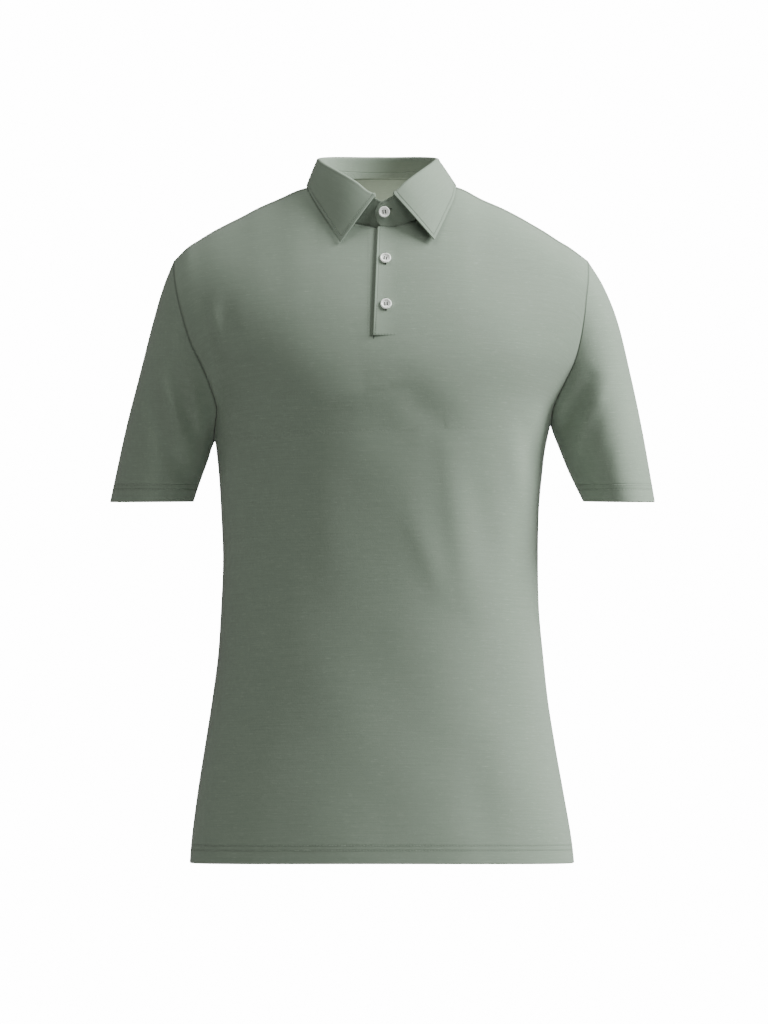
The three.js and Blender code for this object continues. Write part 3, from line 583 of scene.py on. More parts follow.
# %% [markdown]
# ## Collar
# The collar has two parts: a stand that rises from the neck seam, and a leaf that starts at its top, folds
# over and comes down on the shoulders. Both are worked out by the turn round the neck, 0 at the back, 90
# at the shoulder and 180 at the front, so that each cut through the collar is one short curve.

# %% Collar measures
FOLD_LINE = table("turn height depth", """
    0 36.5 48   45 35.5 48   90 31 48   104 28 66   127 18.5 68   145 8 69
    157 -1 70   167 -10.8 71   173 -13.4 71   180 -13.8 71""")
LEAF_EDGE = {
    "right": table("turn x height lift", """
        0 0 -8 1.8   30 38 -8 1.8   58 65.5 -5 1.8   80 75.8 -0.6 2.6   100 76.2 -3.5 2.6
        120 74 -16 2.2   140 67 -32 2.4   157 59.5 -49 4.0   169 53.3 -62.5 5.6"""),
    "left": table("turn x height lift", """
        0 0 -8 1.8   30 38 -8 1.8   58 66 -5 1.8   80 77.2 -0.6 2.6   100 77.2 -3.5 2.6
        120 71.5 -15 1.9   140 62.5 -30 1.8   158 52 -47 1.8   173.5 42.4 -63 1.9"""),
}
STAND_END = table("reach foot head", "-30 0 1   -13 0 1   0 .01 .84   3.5 .1 .75   5.8 .24 .63   7 .38 .5")
FOLD_HALF, FOLD_RADIUS = 63, 2
STAND_OVERLAP, LEAF_ROW = 1.3, 3.2
STAND_EDGE_SCALE = 1.8  # its stitch row lies that much nearer the edge than the leaf's
LEAF_SWELL = {"side": 0.2, "end": 1.8}


def outward(turn):
    turn = np.radians(turn)
    return np.stack([np.sin(turn), np.cos(turn), 0 * turn], -1)


def neck_seam(turn):
    x = NECK_HALF * np.sin(np.radians(turn))
    x = np.sign(x) * np.minimum(np.abs(x), NECK_HALF - 0.02)
    points = [body(panel, *place_on(panel, x, neck_line(panel, x))) for panel in ("front", "back")]
    return np.where((np.abs(turn) > 90)[:, None], *points)


def fold_line(turn):
    """Line of the collar's fold. It sits a little to the left at the back and sides, as worn."""
    short = np.minimum(np.abs(turn), 360 - np.abs(turn))
    height, depth = (curve(FOLD_LINE, "turn", column)(short) for column in ("height", "depth"))
    back = smooth(np.clip((180 - short) / 70, 0, 1))
    x = (FOLD_HALF - 2 * back) * np.sin(np.radians(turn)) - 4.2 * back
    return np.stack([x, depth * np.cos(np.radians(turn)), height - 2.6 * back], -1)


def overlap(turn):
    return smooth(np.clip((np.abs(turn) - 145) / 27, 0, 1)) * np.sign(turn) * STAND_OVERLAP


def stand_head(turn):
    foot, fold = neck_seam(turn), fold_line(turn)
    rise = 6.8 + 5.7 * np.cos(np.radians(turn))
    return lerp(foot, fold, 1 - (rise / np.linalg.norm(fold - foot, axis=-1))[:, None])


# %% Collar stand
def stand_points(turn, share):
    reach = np.where(np.abs(turn) > 90, -NECK_HALF * np.sin(np.radians(np.abs(turn))), -30)
    foot, head = (curve(STAND_END, "reach", end)(reach) for end in ("foot", "head"))
    points = lerp(neck_seam(turn) + [0, 0, 0.1], stand_head(turn), lerp(foot, head, share)[..., None])
    return points + outward(turn) * overlap(turn)[:, None]


stand_last = 180 + math.degrees(math.asin(7 / NECK_HALF))
stand_half = spaced([0, 166, stand_last], [2.2, 0.8])
stand_turns = np.concatenate([-stand_half[:0:-1], stand_half])[::-1]
stand_grid = stand_points(stand_turns, np.linspace(0, 1, 15)[:, None])
stand_up, stand_edge = to_sides(stand_grid)
collar_stand = shell("collar_stand_cloth", stand_grid, COLLAR_CLOTH, stand_edge * STAND_EDGE_SCALE, stand_up)

# %% Collar leaf
def leaf_points(turn):
    both = [{key: curve(LEAF_EDGE[side], "turn", key)(np.abs(turn)) for key in LEAF_EDGE[side]} for side in SIDES]
    x, height, lift = (np.where(turn < 0, both[0][key], both[1][key]) for key in ("x", "height", "lift"))
    x = np.sign(turn) * x
    feet = [out_from(panel, place_on(panel, x, np.minimum(height, ridge(panel, x) - 0.3)), lift)
            for panel in ("front", "back")]
    foot = np.where((np.abs(turn) > 90)[:, None], *feet)
    out = outward(turn)
    layer = (overlap(turn) - COLLAR_CLOTH / 2)[:, None]
    start = stand_head(turn) + out * layer
    centre = fold_line(turn) + out * (layer + FOLD_RADIUS)
    climb = [lerp(start, centre - out * FOLD_RADIUS, share) for share in (0, 0.33, 0.67)]
    over = [centre - out * FOLD_RADIUS * math.cos(a) + [0, 0, FOLD_RADIUS * math.sin(a)]
            for a in np.linspace(0, math.pi, 9)]
    swell = lerp(LEAF_SWELL["side"], LEAF_SWELL["end"], np.abs(np.cos(np.radians(turn))))[:, None]
    down = [lerp(over[-1], foot, share) + out * swell * math.sin(math.pi * share**0.8)
            for share in np.linspace(0, 1, 27)[1:]]
    return np.stack([*climb, *over, *down])


leaf_turns = spaced([-173.5, -171, -150, 150, 166.5, 169], [0.8, 1.5, 2.4, 1.5, 0.8])
leaf_middle = leaf_points(leaf_turns)
leaf_grid = leaf_middle + ways_out(leaf_middle) * COLLAR_CLOTH / 2
leaf_edge = to_sides(leaf_grid)[1]
collar_leaf = shell("collar_leaf_cloth", leaf_grid, COLLAR_CLOTH, leaf_edge, FAR + 0 * leaf_edge)

# %% [markdown]
# ## Buttons
# A shell button is turned on a lathe: a dished face inside a raised rim, a bevelled back, four drilled
# holes. Here a profile spun round its axis does the turning and a Boolean modifier drills, on a disc that
# lies flat at the origin. Then the finished mesh moves to its seat on the cloth.

# %% Turning and drilling one button
BUTTON_RADIUS, BUTTON_THICK, HOLE, HOLE_OUT = 5.75, 2.4, 0.85, 1.25
PROFILE = [(0, 0), (0.7, 0), (0.9, 0.16), (0.98, 0.36), (1, 0.55), (0.985, 0.76), (0.94, 0.91), (0.88, 0.985),
           (0.82, 1), (0.77, 0.95), (0.73, 0.8), (0.69, 0.62), (0.63, 0.54), (0.45, 0.52), (0.2, 0.5), (0, 0.5)]


def turned(name, profile, sides):
    """Closed solid of revolution from out and up pairs, in mm."""
    around = np.radians(np.arange(sides) * 360 / sides)
    rings = [[(out * math.cos(a), out * math.sin(a), up) for a in around] for out, up in profile[1:-1]]
    points = [point for ring in rings for point in ring] + [(0, 0, profile[0][1]), (0, 0, profile[-1][1])]
    faces = []
    for ring in range(len(rings) - 1):
        for k in range(sides):
            a, b = ring * sides + k, ring * sides + (k + 1) % sides
            faces.append((a, b, b + sides, a + sides))
    low, high, last = len(points) - 2, len(points) - 1, (len(rings) - 1) * sides
    for k in range(sides):
        faces.append((low, (k + 1) % sides, k))
        faces.append((high, last + k, last + (k + 1) % sides))
    mesh = bpy.data.meshes.new(name)
    mesh.from_pydata((np.array(points) * MM).tolist(), [], faces)
    piece = bpy.data.objects.new(name, mesh)
    bpy.context.scene.collection.objects.link(piece)
    return piece


def settled(piece):
    """The piece with its modifiers worked into a plain mesh."""
    bpy.context.view_layer.update()
    made = bpy.data.meshes.new_from_object(piece.evaluated_get(bpy.context.evaluated_depsgraph_get()))
    piece.modifiers.clear()
    piece.data = made
    return piece


def drilled(name):
    disc = turned(name, [(out * BUTTON_RADIUS, up * BUTTON_THICK) for out, up in PROFILE], 56)
    drills = []
    for x, y in ((1, 1), (-1, 1), (-1, -1), (1, -1)):
        drill = turned("drill", [(0, -2), (HOLE, -2), (HOLE, 4), (0, 4)], 16)
        drill.data.transform(Matrix.Translation((x * HOLE_OUT * MM, y * HOLE_OUT * MM, 0)))
        cut = disc.modifiers.new("hole", "BOOLEAN")
        cut.object, cut.solver = drill, "EXACT"
        drills.append(drill)
    settled(disc)
    for drill in drills:
        bpy.data.objects.remove(drill)
    disc.data.shade_smooth()
    disc.data.set_sharp_from_angle(angle=math.radians(40))
    return disc


# %% Seats of the buttons
def stand_seat(x, height):
    """Points and ways out on the upper stand end, at places across and up."""
    turn = 180 - np.degrees(np.arcsin(x / NECK_HALF))
    low, high = stand_points(turn, np.array([[0.0], [1.0]]))
    way = np.cross([1, 0, 0], high - low)
    share = (height - low[:, 2]) / (high[:, 2] - low[:, 2])
    return lerp(low, high, share[:, None]), unit(way)


def placket_seat(x, height):
    place = place_on("front", x, height)
    return dressed("front", place, top_lift((x + 7) / 22, 0.5)), facing("front", *place)


def seat_matrix(point, way, turn, lift):
    """Stands a piece made flat at the origin on the cloth, turned in its own plane by some degrees."""
    up = Vector(way)
    side = Vector((0, 0, 1)).cross(up).normalized()
    axes = Matrix((side, up.cross(side), up)).transposed().to_4x4()
    spin = Matrix.Rotation(math.radians(turn), 4, "Z")
    return Matrix.Translation(Vector(point * MM) + up * lift * MM) @ axes @ spin


def one_seat(seat, x, height, turn):
    points, ways = seat(np.array([x]), np.array([height]))
    return points[0], ways[0], turn


SEATS = {
    "button_1": one_seat(stand_seat, 2.4, -30.4, 8),
    "button_2": one_seat(placket_seat, 3.6, -80.1, -12),
    "button_3": one_seat(placket_seat, 4.2, -128.0, 5),
}
BUTTON_GAP = 0.3
buttons = {}
for name, (point, way, turn) in SEATS.items():
    button = drilled(name + "_shell")
    button.data.transform(seat_matrix(point, way, turn, BUTTON_GAP))
    buttons[name] = button
print("button faces:", len(button.data.polygons), "seats:", [tuple(s[0].round(1)) for s in SEATS.values()])

# %% [markdown]
# ## Stitches
# Stitches repeat thousands of times along lines, which is what Geometry Nodes are for. A line of points
# on the cloth becomes a curve, the curve is cut at the stitch pitch, and one small grain of thread is set
# on each cut, turned along the line and laid flat on the cloth by a stored "out" direction.

# %% The stitch tree
GRAIN = ("Pitch", "Length", "Width", "Height")


def stitch_tree():
    tree = bpy.data.node_groups.new("stitches along a line", "GeometryNodeTree")
    for name, way, kind in (("Geometry", "INPUT", "Geometry"), *((name, "INPUT", "Float") for name in GRAIN),
                            ("Thread", "INPUT", "Material"), ("Geometry", "OUTPUT", "Geometry")):
        tree.interface.new_socket(name, in_out=way, socket_type="NodeSocket" + kind)

    def add(kind, values=(), **settings):
        node = tree.nodes.new(kind)
        for key, value in settings.items():
            setattr(node, key, value)
        for name, value in values:
            if isinstance(value, bpy.types.NodeSocket):
                tree.links.new(value, node.inputs[name])
            else:
                node.inputs[name].default_value = value
        return node

    given = add("NodeGroupInput").outputs
    line = add("GeometryNodeMeshToCurve", [("Mesh", given["Geometry"])]).outputs[0]
    cut = add("GeometryNodeResampleCurve", [("Curve", line), ("Length", given["Pitch"])], mode="LENGTH")
    out = add("GeometryNodeInputNamedAttribute", [("Name", "out")], data_type="FLOAT_VECTOR")
    along = add("GeometryNodeInputTangent")
    axes = [("Primary Axis", along.outputs[0]), ("Secondary Axis", out.outputs[0])]
    turn = add("FunctionNodeAxesToRotation", axes, primary_axis="X", secondary_axis="Z")
    grain = add("GeometryNodeMeshUVSphere", [("Segments", 6), ("Rings", 4), ("Radius", 0.5)])
    uneven = add("FunctionNodeRandomValue", [("Seed", 7)], data_type="FLOAT")
    uneven.inputs[2].default_value, uneven.inputs[3].default_value = 0.85, 1.1
    size = add("ShaderNodeMath", [(0, given["Length"]), (1, uneven.outputs[1])], operation="MULTIPLY")
    scale = add("ShaderNodeCombineXYZ", [("X", size.outputs[0]), ("Y", given["Width"]), ("Z", given["Height"])])
    put = add("GeometryNodeInstanceOnPoints", [("Points", cut.outputs[0]), ("Instance", grain.outputs[0]),
                                               ("Rotation", turn.outputs[0]), ("Scale", scale.outputs[0])])
    real = add("GeometryNodeRealizeInstances", [("Geometry", put.outputs[0])])
    smooth = add("GeometryNodeSetShadeSmooth", [("Geometry", real.outputs[0])])
    done = add("GeometryNodeSetMaterial", [("Geometry", smooth.outputs[0]), ("Material", given["Thread"])])
    add("NodeGroupOutput", [("Geometry", done.outputs[0])])
    return tree


def stitched(name, lines, grain, thread):
    """Stitches along lines, each points and ways out from the cloth. grain is the four sizes in mm."""
    points = np.concatenate([line[0] for line in lines]) * MM
    ways = np.concatenate([line[1] for line in lines])
    starts = np.cumsum([0] + [len(line[0]) for line in lines])
    edges = [(k, k + 1) for a, b in zip(starts, starts[1:]) for k in range(a, b - 1)]
    mesh = bpy.data.meshes.new(name)
    mesh.from_pydata(points.tolist(), edges, [])
    out = mesh.attributes.new("out", "FLOAT_VECTOR", "POINT")
    out.data.foreach_set("vector", ways.astype(np.float32).ravel())
    piece = bpy.data.objects.new(name, mesh)
    bpy.context.scene.collection.objects.link(piece)
    modifier = piece.modifiers.new("stitches", "NODES")
    modifier.node_group = STITCHES
    given = {"Thread": thread, **{key: value * MM for key, value in zip(GRAIN, grain)}}
    for item in STITCHES.interface.items_tree:
        if item.name in given:
            modifier[item.identifier] = given[item.name]
    settled(piece)
    print(name, "faces:", len(piece.data.polygons))
    return piece


STITCHES = stitch_tree()

# %% [markdown]
# ## Cloth finish
# The jersey is sage green with fine pale and dark streaks across it, where the yarn is thicker or
# thinner. A photograph of cloth wrapped on the mesh would show the same patch again and again, so the
# finish is worked out from noise on the flat map, stretched along the yarn. Seams and stitch rows press
# the cloth in: the bump reads the stored distances for that, and the colour reads them too and is
# darkened there as painted shade in the grooves.

# %% Writing a material as sums
class Wire:
    """One value on its way through a material. Python's operators add the Math nodes."""

    def __init__(self, recipe, socket):
        self.recipe, self.socket = recipe, socket

    def math(self, operation, *others):
        return self.recipe.add("ShaderNodeMath", {"operation": operation}, self, *others)

    def __add__(self, other):
        return self.math("ADD", other)

    def __sub__(self, other):
        return self.math("SUBTRACT", other)

    def __mul__(self, other):
        return self.math("MULTIPLY", other)

    __radd__, __rmul__ = __add__, __mul__

    def bell(self, middle, width):
        """1 at the middle, falling smoothly to 0 past the width."""
        away = (self - middle) * (1 / width)
        return (away * away * -1.0).math("EXPONENT")


class Recipe:
    """A material on a Principled shader, with values that stay the same set on the shader itself."""

    def __init__(self, name, fixed):
        self.material = bpy.data.materials.new(name)
        self.material.use_nodes = True
        self.tree = self.material.node_tree
        self.shader = self.tree.nodes["Principled BSDF"]
        for key, value in fixed.items():
            self.shader.inputs[key].default_value = value

    def add(self, kind, settings, *values, output=0, sockets=(), **named):
        node = self.tree.nodes.new(kind)
        for key, value in settings.items():
            setattr(node, key, value)
        for key, value in [*enumerate(values), *dict(sockets).items(), *named.items()]:
            self.feed(node.inputs[key], value)
        return Wire(self, node.outputs[output])

    def feed(self, socket, value):
        if isinstance(value, Wire):
            self.tree.links.new(value.socket, socket)
        else:
            socket.default_value = value

    def finish(self, **values):
        for key, value in values.items():
            self.feed(self.shader.inputs[key.replace("_", " ")], value)
        return self.material

    def noise(self, vector, stretch, detail=2.0, rough=0.5):
        """Noise on a map in metres, with so many blotches a metre each way."""
        place = self.add("ShaderNodeVectorMath", {"operation": "MULTIPLY"}, vector, stretch)
        return self.add("ShaderNodeTexNoise", {}, Vector=place, Scale=1.0, Detail=detail, Roughness=rough)

    def mixed(self, share, a, b):
        return self.add("ShaderNodeMix", {"data_type": "RGBA"}, output=2, sockets={0: share, 6: a, 7: b})


def shade(red, green, blue):
    """A colour as read off a screen, 0 to 255, in the linear numbers that a shader takes."""
    parts = [v / 255 for v in (red, green, blue)]
    return tuple(v / 12.92 if v < 0.04 else ((v + 0.055) / 1.055) ** 2.4 for v in parts) + (1,)


def darker(colour, share):
    return tuple(v * share for v in colour[:3]) + (1,)


# %% Jersey and collar cloth
JERSEY_PALE, JERSEY_DARK = shade(150, 162, 148), shade(116, 128, 115)
WALE_PITCH = 0.0008


def cloth_finish(name, rows, seams=True, streaks=1.0, press=0.5):
    """rows are the grooves that stitch rows press, as distance from the free edge and width in mm."""
    made = Recipe(name, {"Sheen Weight": 0.12, "Sheen Roughness": 0.5, "Specular IOR Level": 0.25})
    flat = made.add("ShaderNodeUVMap", {"uv_map": "flat"})
    edge = made.add("ShaderNodeAttribute", {"attribute_name": "to_edge"}, output=2)
    long_slub = made.noise(flat, (24, 640, 1), 3.0, 0.6)
    short_slub = made.noise(flat, (110, 1000, 1), 2.0, 0.6)
    fleck = made.noise(flat, (900, 1500, 1), 1.0)
    cloud = made.noise(flat, (7, 9, 1), 2.0)
    slubs = (long_slub - 0.5) * 0.42 + (short_slub - 0.6).math("MAXIMUM", 0.0) * 4.0
    tone = 0.48 + streaks * slubs + (fleck - 0.5) * 0.4 + (cloud - 0.5) * 0.25
    colour = made.mixed(tone, JERSEY_DARK, JERSEY_PALE)
    groove_and_shade = 0.0
    for middle, width in rows:
        groove_and_shade = edge.bell(middle * MM, width * MM) * press + groove_and_shade
    if seams:
        near = made.add("ShaderNodeAttribute", {"attribute_name": "to_seam"}, output=2)
        groove_and_shade = near.bell(0.0, 1.2 * MM) * 2.0 + groove_and_shade
    # Painted shade: the colour darkens at the seams and in the stitch-row grooves.
    colour = made.mixed(groove_and_shade * 0.3, colour, darker(JERSEY_DARK, 0.35))
    across = made.add("ShaderNodeSeparateXYZ", {}, flat)
    wale = (across * (2 * math.pi / WALE_PITCH)).math("SINE")
    height = wale * 0.02 + long_slub * 0.07 + fleck * 0.06 - groove_and_shade * 0.35
    bump = made.add("ShaderNodeBump", {}, Strength=1.0, Distance=MM, Height=height)
    rough = 0.8 + (short_slub - 0.5) * 0.2
    return made.finish(Base_Color=colour, Roughness=rough, Normal=bump)


jersey = cloth_finish("sage jersey", [(row, 0.8) for row in HEM_ROWS])
collar_cloth = cloth_finish("collar cloth", [(LEAF_ROW, 0.6)], seams=False, streaks=0.6, press=0.9)
placket_cloth = cloth_finish("placket cloth", [(1.9, 0.5)], streaks=0.8)


def thread_finish(name, colour):
    made = Recipe(name, {"Sheen Weight": 0.2, "Specular IOR Level": 0.3})
    place = made.add("ShaderNodeTexCoord", {}, output=3)
    twist = made.noise(place, (2500, 2500, 2500), 1.0)
    mixed = made.mixed(twist, darker(colour, 0.8), colour)
    return made.finish(Base_Color=mixed, Roughness=0.6 + twist * 0.2)


seam_thread = thread_finish("sage thread", shade(150, 162, 148))
dark_thread = thread_finish("dark thread", shade(44, 50, 44))

# %% Shell of the buttons
def shell_finish():
    # Emission Strength 0.22 with the shell's own colour is a painted glow: the buttons shine brighter than the light
    # on them.
    made = Recipe("button shell", {"Coat Weight": 0.35, "Coat Roughness": 0.12, "Specular IOR Level": 0.55,
                                   "Emission Strength": 0.22})
    place = made.add("ShaderNodeTexCoord", {}, output=3)
    swirl = made.noise(place, (160, 220, 420), 3.0, 0.6)
    grain = made.noise(place, (900, 900, 1400), 2.0)
    colour = made.mixed((swirl - 0.5) * 1.4 + 0.5, shade(236, 238, 232), shade(252, 252, 249))
    bump = made.add("ShaderNodeBump", {}, Strength=0.3, Distance=MM, Height=grain * 0.03)
    return made.finish(Base_Color=colour, Emission_Color=colour, Roughness=0.22 + grain * 0.12, Normal=bump)


button_shell = shell_finish()
for piece, finish in ((front_cloth, jersey), (back_cloth, jersey), (sleeve_left, jersey), (sleeve_right, jersey),
                      (placket_top, placket_cloth), (placket_under, placket_cloth), (collar_stand, collar_cloth),
                      (collar_leaf, collar_cloth), *((piece, button_shell) for piece in buttons.values())):
    piece.data.materials.clear()
    piece.data.materials.append(finish)

# %% [markdown]
# ## Rows of stitches
# Jersey hems are sewn with a twin needle, which leaves two rows side by side. The collar leaf is
# topstitched near its edge, and the placket along its free edge and foot. The lines come from the same
# functions as the cloth, lifted by a fraction of a millimetre.

# %% Hem rows
LIFT, CUFF_HEIGHT = 0.12, -330


def hem_line(height):
    halves = []
    for panel, angles in (("front", np.linspace(-90, 90, 200)), ("back", np.linspace(90, -90, 200))):
        hem, armpit = column_ends(panel, angles)
        climb = height / (armpit - hem) - 1
        ways = facing(panel, angles, climb)
        halves.append((dressed(panel, (angles, climb)) + ways * LIFT, ways))
    return tuple(np.concatenate([half[k] for half in halves]) for k in (0, 1))


def cuff_line(side, height):
    ovals, back = ring(np.linspace(0, 360, 180))
    goal = CUFF_HEIGHT + height
    along = solve(lambda at: sleeve_points(side, at, ovals, back)[..., 2] < goal, 0.6, 1, ovals.shape)
    points = sleeve_points(side, along, ovals, back)
    way = np.cross(np.gradient(points, axis=0), [0, 0, 1])
    way = unit(way * np.sign(np.sum(way * (points - points.mean(0)), -1, keepdims=True)))
    return points + way * LIFT, way


hem_rows = [*map(hem_line, HEM_ROWS), *(cuff_line(side, height) for side in SIDES for height in CUFF_ROWS)]
hem_stitches = stitched("hem_stitches", hem_rows, (3.2, 2.7, 0.55, 0.4), seam_thread)


# %% Collar and placket rows
TURNED = {  # how a grid turns to bring one of its sides to the foot
    "foot": lambda field: field,
    "head": lambda field: field[::-1],
    "start": lambda field: field.transpose(1, 0, 2),
    "end": lambda field: field[:, ::-1].transpose(1, 0, 2),
}


def inner_line(grid, side, distance, columns):
    """A line that keeps a distance from one side of a grid, over some of its columns or rows."""
    fields = [TURNED[side](field) for field in (grid, ways_out(grid))]
    walked = run(fields[0], 0)
    rows = [[np.interp(distance, walked[:, c], field[:, c, k]) for k in range(3)] for field in fields for c in columns]
    points, ways = np.array(rows).reshape(2, len(columns), 3)
    return points + ways * LIFT, ways


def front_line(x, heights, on_strip=False):
    place = place_on("front", x, heights)
    lift = top_lift((x + 8.6) / 23.6, 0.5) if on_strip else 0
    return dressed("front", place, LIFT + lift), facing("front", *place)


over = run(leaf_grid, 1)[-1]
leaf_foot = [c for c in range(len(over)) if LEAF_ROW < over[c] < over[-1] - LEAF_ROW]
leaf_end = range(13, len(leaf_grid) - 3)
last = stand_grid.shape[1]
down, across, neck_x = np.linspace(-157.5, -52, 60), np.linspace(-6, 13, 16), np.linspace(-66, -14, 40)
collar_rows = [
    inner_line(leaf_grid, "head", LEAF_ROW, leaf_foot),
    inner_line(leaf_grid, "start", LEAF_ROW, leaf_end),
    inner_line(leaf_grid, "end", LEAF_ROW, leaf_end),
    front_line(-13.9 + 0 * down, down),
    front_line(lerp(-6.7, -2.2, (down + 160) / 114), down, True),
    front_line(across, -158.7 + 0 * across, True),
    front_line(neck_x, neck_line("front", neck_x) - 2.4),
    inner_line(stand_grid, "foot", 1.8, range(4, last - 4)),
    inner_line(stand_grid, "head", 1.5, range(3, 22)),
    inner_line(stand_grid, "head", 1.5, range(last - 22, last - 3)),
    inner_line(stand_grid, "start", 1.4, range(2, 13)),
]
collar_stitches = stitched("collar_stitches", collar_rows, (2.9, 2.4, 0.5, 0.36), seam_thread)

shoulder_x = np.linspace(72, 208, 80)
shoulder_rows = [front_line(x, ridge("front", x) - 3.0) for x in (shoulder_x, -shoulder_x)]
shoulder_stitches = stitched("shoulder_stitches", shoulder_rows, (1.7, 1.9, 0.5, 0.25), dark_thread)

# %% [markdown]
# ## Buttonholes and button thread
# A buttonhole is a slit bound with close stitches across it, two rows of them. The slit between the
# rows is drawn as a line of dark thread, which is painted shade in the cut, and a short dark line just
# below the foot of the placket is painted shade where the gap beside the top strip ends. The one in the
# stand lies level and shows its end beside the top button. Each button is held by two bars of dark thread
# that go through its holes.

# %% Binding the buttonholes
def slit_line(seat, a, b, aside, lift):
    """A straight line on the cloth between two across, up places, moved aside by a distance."""
    (xa, za), (xb, zb) = a, b
    length, share = math.hypot(xb - xa, zb - za), np.linspace(0, 1, 9)
    x = lerp(xa, xb, share) - (zb - za) / length * aside
    z = lerp(za, zb, share) + (xb - xa) / length * aside
    points, ways = seat(x, z)
    return points + ways * lift, ways


HOLES = [(stand_seat, (-1.5, -28.6), (10.0, -27.2)), (placket_seat, (3.4, -86.3), (3.4, -73.6)),
         (placket_seat, (4.0, -134.2), (4.0, -121.5))]
bound = [slit_line(*hole, aside, 0.15) for hole in HOLES for aside in (-1.05, 1.05)]
buttonholes = stitched("buttonhole_stitches", bound, (0.5, 0.55, 1.1, 0.5), seam_thread)
# Painted shade: dark thread in each buttonhole slit and below the placket's foot, where the gap ends.
gap_foot_shade = front_line(np.full(6, -8.4), np.linspace(-160.2, -163.2, 6))
slit_shade_lines = [*(slit_line(*hole, 0, 0.3) for hole in HOLES), gap_foot_shade]
slit_shade = stitched("buttonhole_slit_shade", slit_shade_lines, (0.9, 1.3, 0.95, 0.5), dark_thread)


# %% Thread in the buttons
def button_thread():
    lines = []
    for point, way, turn in SEATS.values():
        place = seat_matrix(point, way, turn, BUTTON_GAP)
        for x in (-HOLE_OUT, HOLE_OUT):
            ends = [place @ (Vector((x, y, BUTTON_THICK * 0.54)) * MM) for y in (-0.2, 0.2)]
            lines.append((np.array([tuple(end / MM) for end in ends]), np.array([way, way])))
    return stitched("button_thread", lines, (0.4, 3.1, 1.15, 0.9), dark_thread)


threads = button_thread()

# %% [markdown]
# ## Camera, floor and light
# The camera stands where the photographer's stood: square on, at the middle of the shirt, with a long
# lens. A large soft light from the right makes the bright right side and the dark left one, weaker ones
# come from above and from the left, and a small one inside stands for light through the cloth. The white
# round about is strong only for the camera.

# %% Camera
camera = bpy.data.objects.new("camera", bpy.data.cameras.new("camera"))
camera.data.lens = 150.4
camera.location = (0.0021, -4.5, -0.341)
camera.rotation_euler = (math.radians(90), 0, 0)
bpy.context.scene.collection.objects.link(camera)
bpy.context.scene.camera = camera


# %% Lights
def soft_light(name, place, aim, width, height, power, colour):
    light = bpy.data.objects.new(name, bpy.data.lights.new(name, "AREA"))
    light.data.shape = "RECTANGLE"
    light.data.size, light.data.size_y = width, height
    light.data.energy, light.data.color = power, colour
    light.location = place
    light.rotation_euler = (Vector(aim) - Vector(place)).to_track_quat("-Z", "Y").to_euler()
    bpy.context.scene.collection.objects.link(light)


soft_light("key", (2.27, -0.42, 1.5), (0, 0, -0.3), 1.3, 1.5, 222, (0.96, 1, 0.97))
soft_light("top", (-0.8, -0.7, 2.3), (0, 0, -0.2), 1.6, 1.2, 37, (0.97, 1, 0.96))
soft_light("fill", (-2.2, -3.2, -0.4), (0, 0, -0.3), 2.4, 2.4, 3.8, (1, 0.97, 0.88))
soft_light("through the cloth", (0.0, 0.02, -0.06), (0, 0.1, -0.02), 0.08, 0.04, 0.075, (1, 0.98, 0.88))

world = bpy.data.worlds.new("studio")
bpy.context.scene.world = world
world.use_nodes = True
nodes, links = world.node_tree.nodes, world.node_tree.links
seen, cast, mixed = nodes["Background"], nodes.new("ShaderNodeBackground"), nodes.new("ShaderNodeMixShader")
seen.inputs["Color"].default_value, cast.inputs["Color"].default_value = (1, 1, 1, 1), (1, 0.97, 0.9, 1)
seen.inputs["Strength"].default_value, cast.inputs["Strength"].default_value = 15, 0.045
links.new(nodes.new("ShaderNodeLightPath").outputs["Is Camera Ray"], mixed.inputs[0])
links.new(cast.outputs[0], mixed.inputs[1])
links.new(seen.outputs[0], mixed.inputs[2])
links.new(mixed.outputs[0], nodes["World Output"].inputs["Surface"])

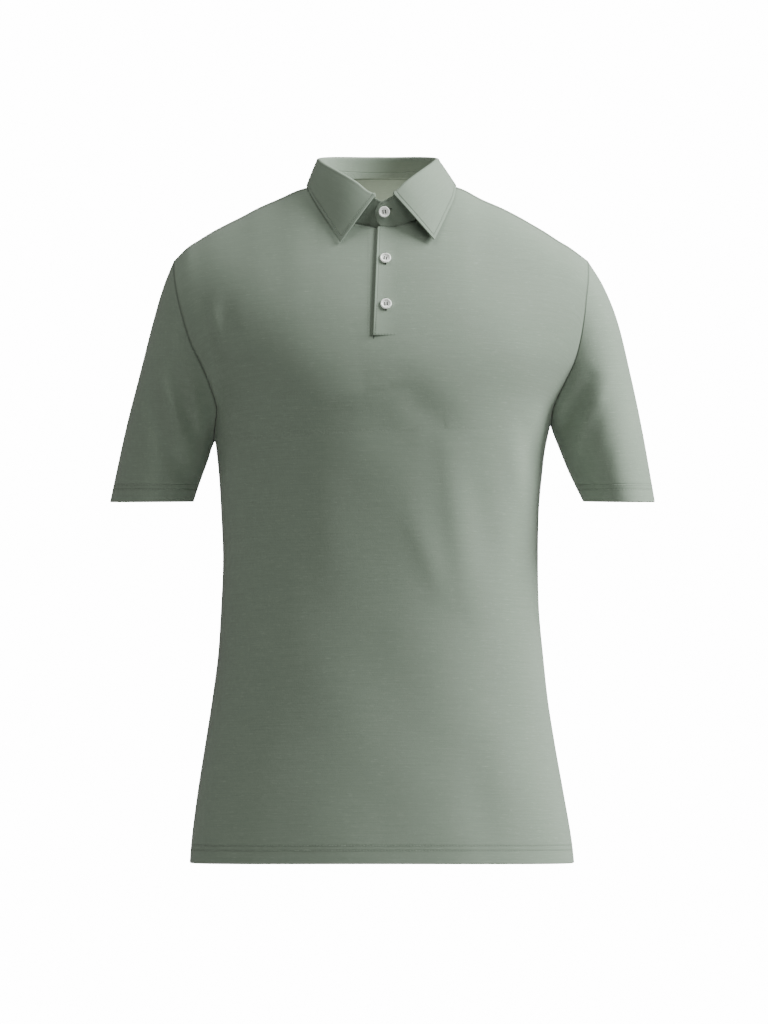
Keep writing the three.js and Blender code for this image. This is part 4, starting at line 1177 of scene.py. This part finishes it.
# %% Floor
FLOOR_Z, FLOOR_RADIUS, FLOOR_SIDES = -1.2, 2.3, 96
turns = np.radians(np.arange(FLOOR_SIDES) * 360 / FLOOR_SIDES)
floor_rim = [(FLOOR_RADIUS * math.cos(a), FLOOR_RADIUS * math.sin(a), FLOOR_Z) for a in turns]
floor_mesh = bpy.data.meshes.new("floor")
floor_mesh.from_pydata(floor_rim, [], [tuple(range(FLOOR_SIDES))])
floor = bpy.data.objects.new("floor", floor_mesh)
bpy.context.scene.collection.objects.link(floor)
plaster = Recipe("pale floor", {"Specular IOR Level": 0.2})
grey = plaster.noise(plaster.add("ShaderNodeTexCoord", {}, output=3), (6, 6, 6))
pale = plaster.mixed(grey, shade(226, 226, 224), shade(232, 232, 231))
floor_mesh.materials.append(plaster.finish(Base_Color=pale, Roughness=0.8))

# %% [markdown]
# ## Pieces on the body
# Every piece rides on the shirt's one body and stands for its solid, which is hidden. The table below
# lists for each piece of cloth how large a sheet it was cut from: width and length of the rectangle that it
# is cut out of, and its area.

# %% Attaching the pieces
BOTH = ["front_panel", "back_panel"]
CLOTHS = [  # piece, solid, slot, cut in metres, area in square metres, how it is held, what it rests on
    (front_cloth, "front_panel", "jersey", (0.53, 0.76), 0.335, "draped", ["back_panel"]),
    (back_cloth, "back_panel", "jersey", (0.51, 0.80), 0.34, "draped", ["front_panel"]),
    (sleeve_left, "sleeve_left", "jersey", (0.40, 0.28), 0.06, "draped", BOTH),
    (sleeve_right, "sleeve_right", "jersey", (0.40, 0.28), 0.06, "draped", BOTH),
    (placket_top, "placket_top", "placket_cloth", (0.024, 0.117), None, "laid", ["placket_under"]),
    (placket_under, "placket_under", "placket_cloth", (0.025, 0.117), None, "laid", ["front_panel"]),
    (collar_stand, "collar_stand", "collar_cloth", (0.44, 0.038), 0.0105, "draped", BOTH),
    (collar_leaf, "collar_leaf", "collar_cloth", (0.42, 0.09), 0.026, "folded", ["collar_stand", *BOTH]),
]
for piece, solid, slot, *_ in CLOTHS:
    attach(piece, "root")
    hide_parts(solid)
for name, piece in buttons.items():
    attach(piece, "root")
    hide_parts(name)
for piece, slot in ((hem_stitches, "jersey"), (collar_stitches, "collar_cloth"), (shoulder_stitches, "jersey"),
                    *((piece, "placket_cloth") for piece in (buttonholes, slit_shade, threads))):
    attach(piece, "root")
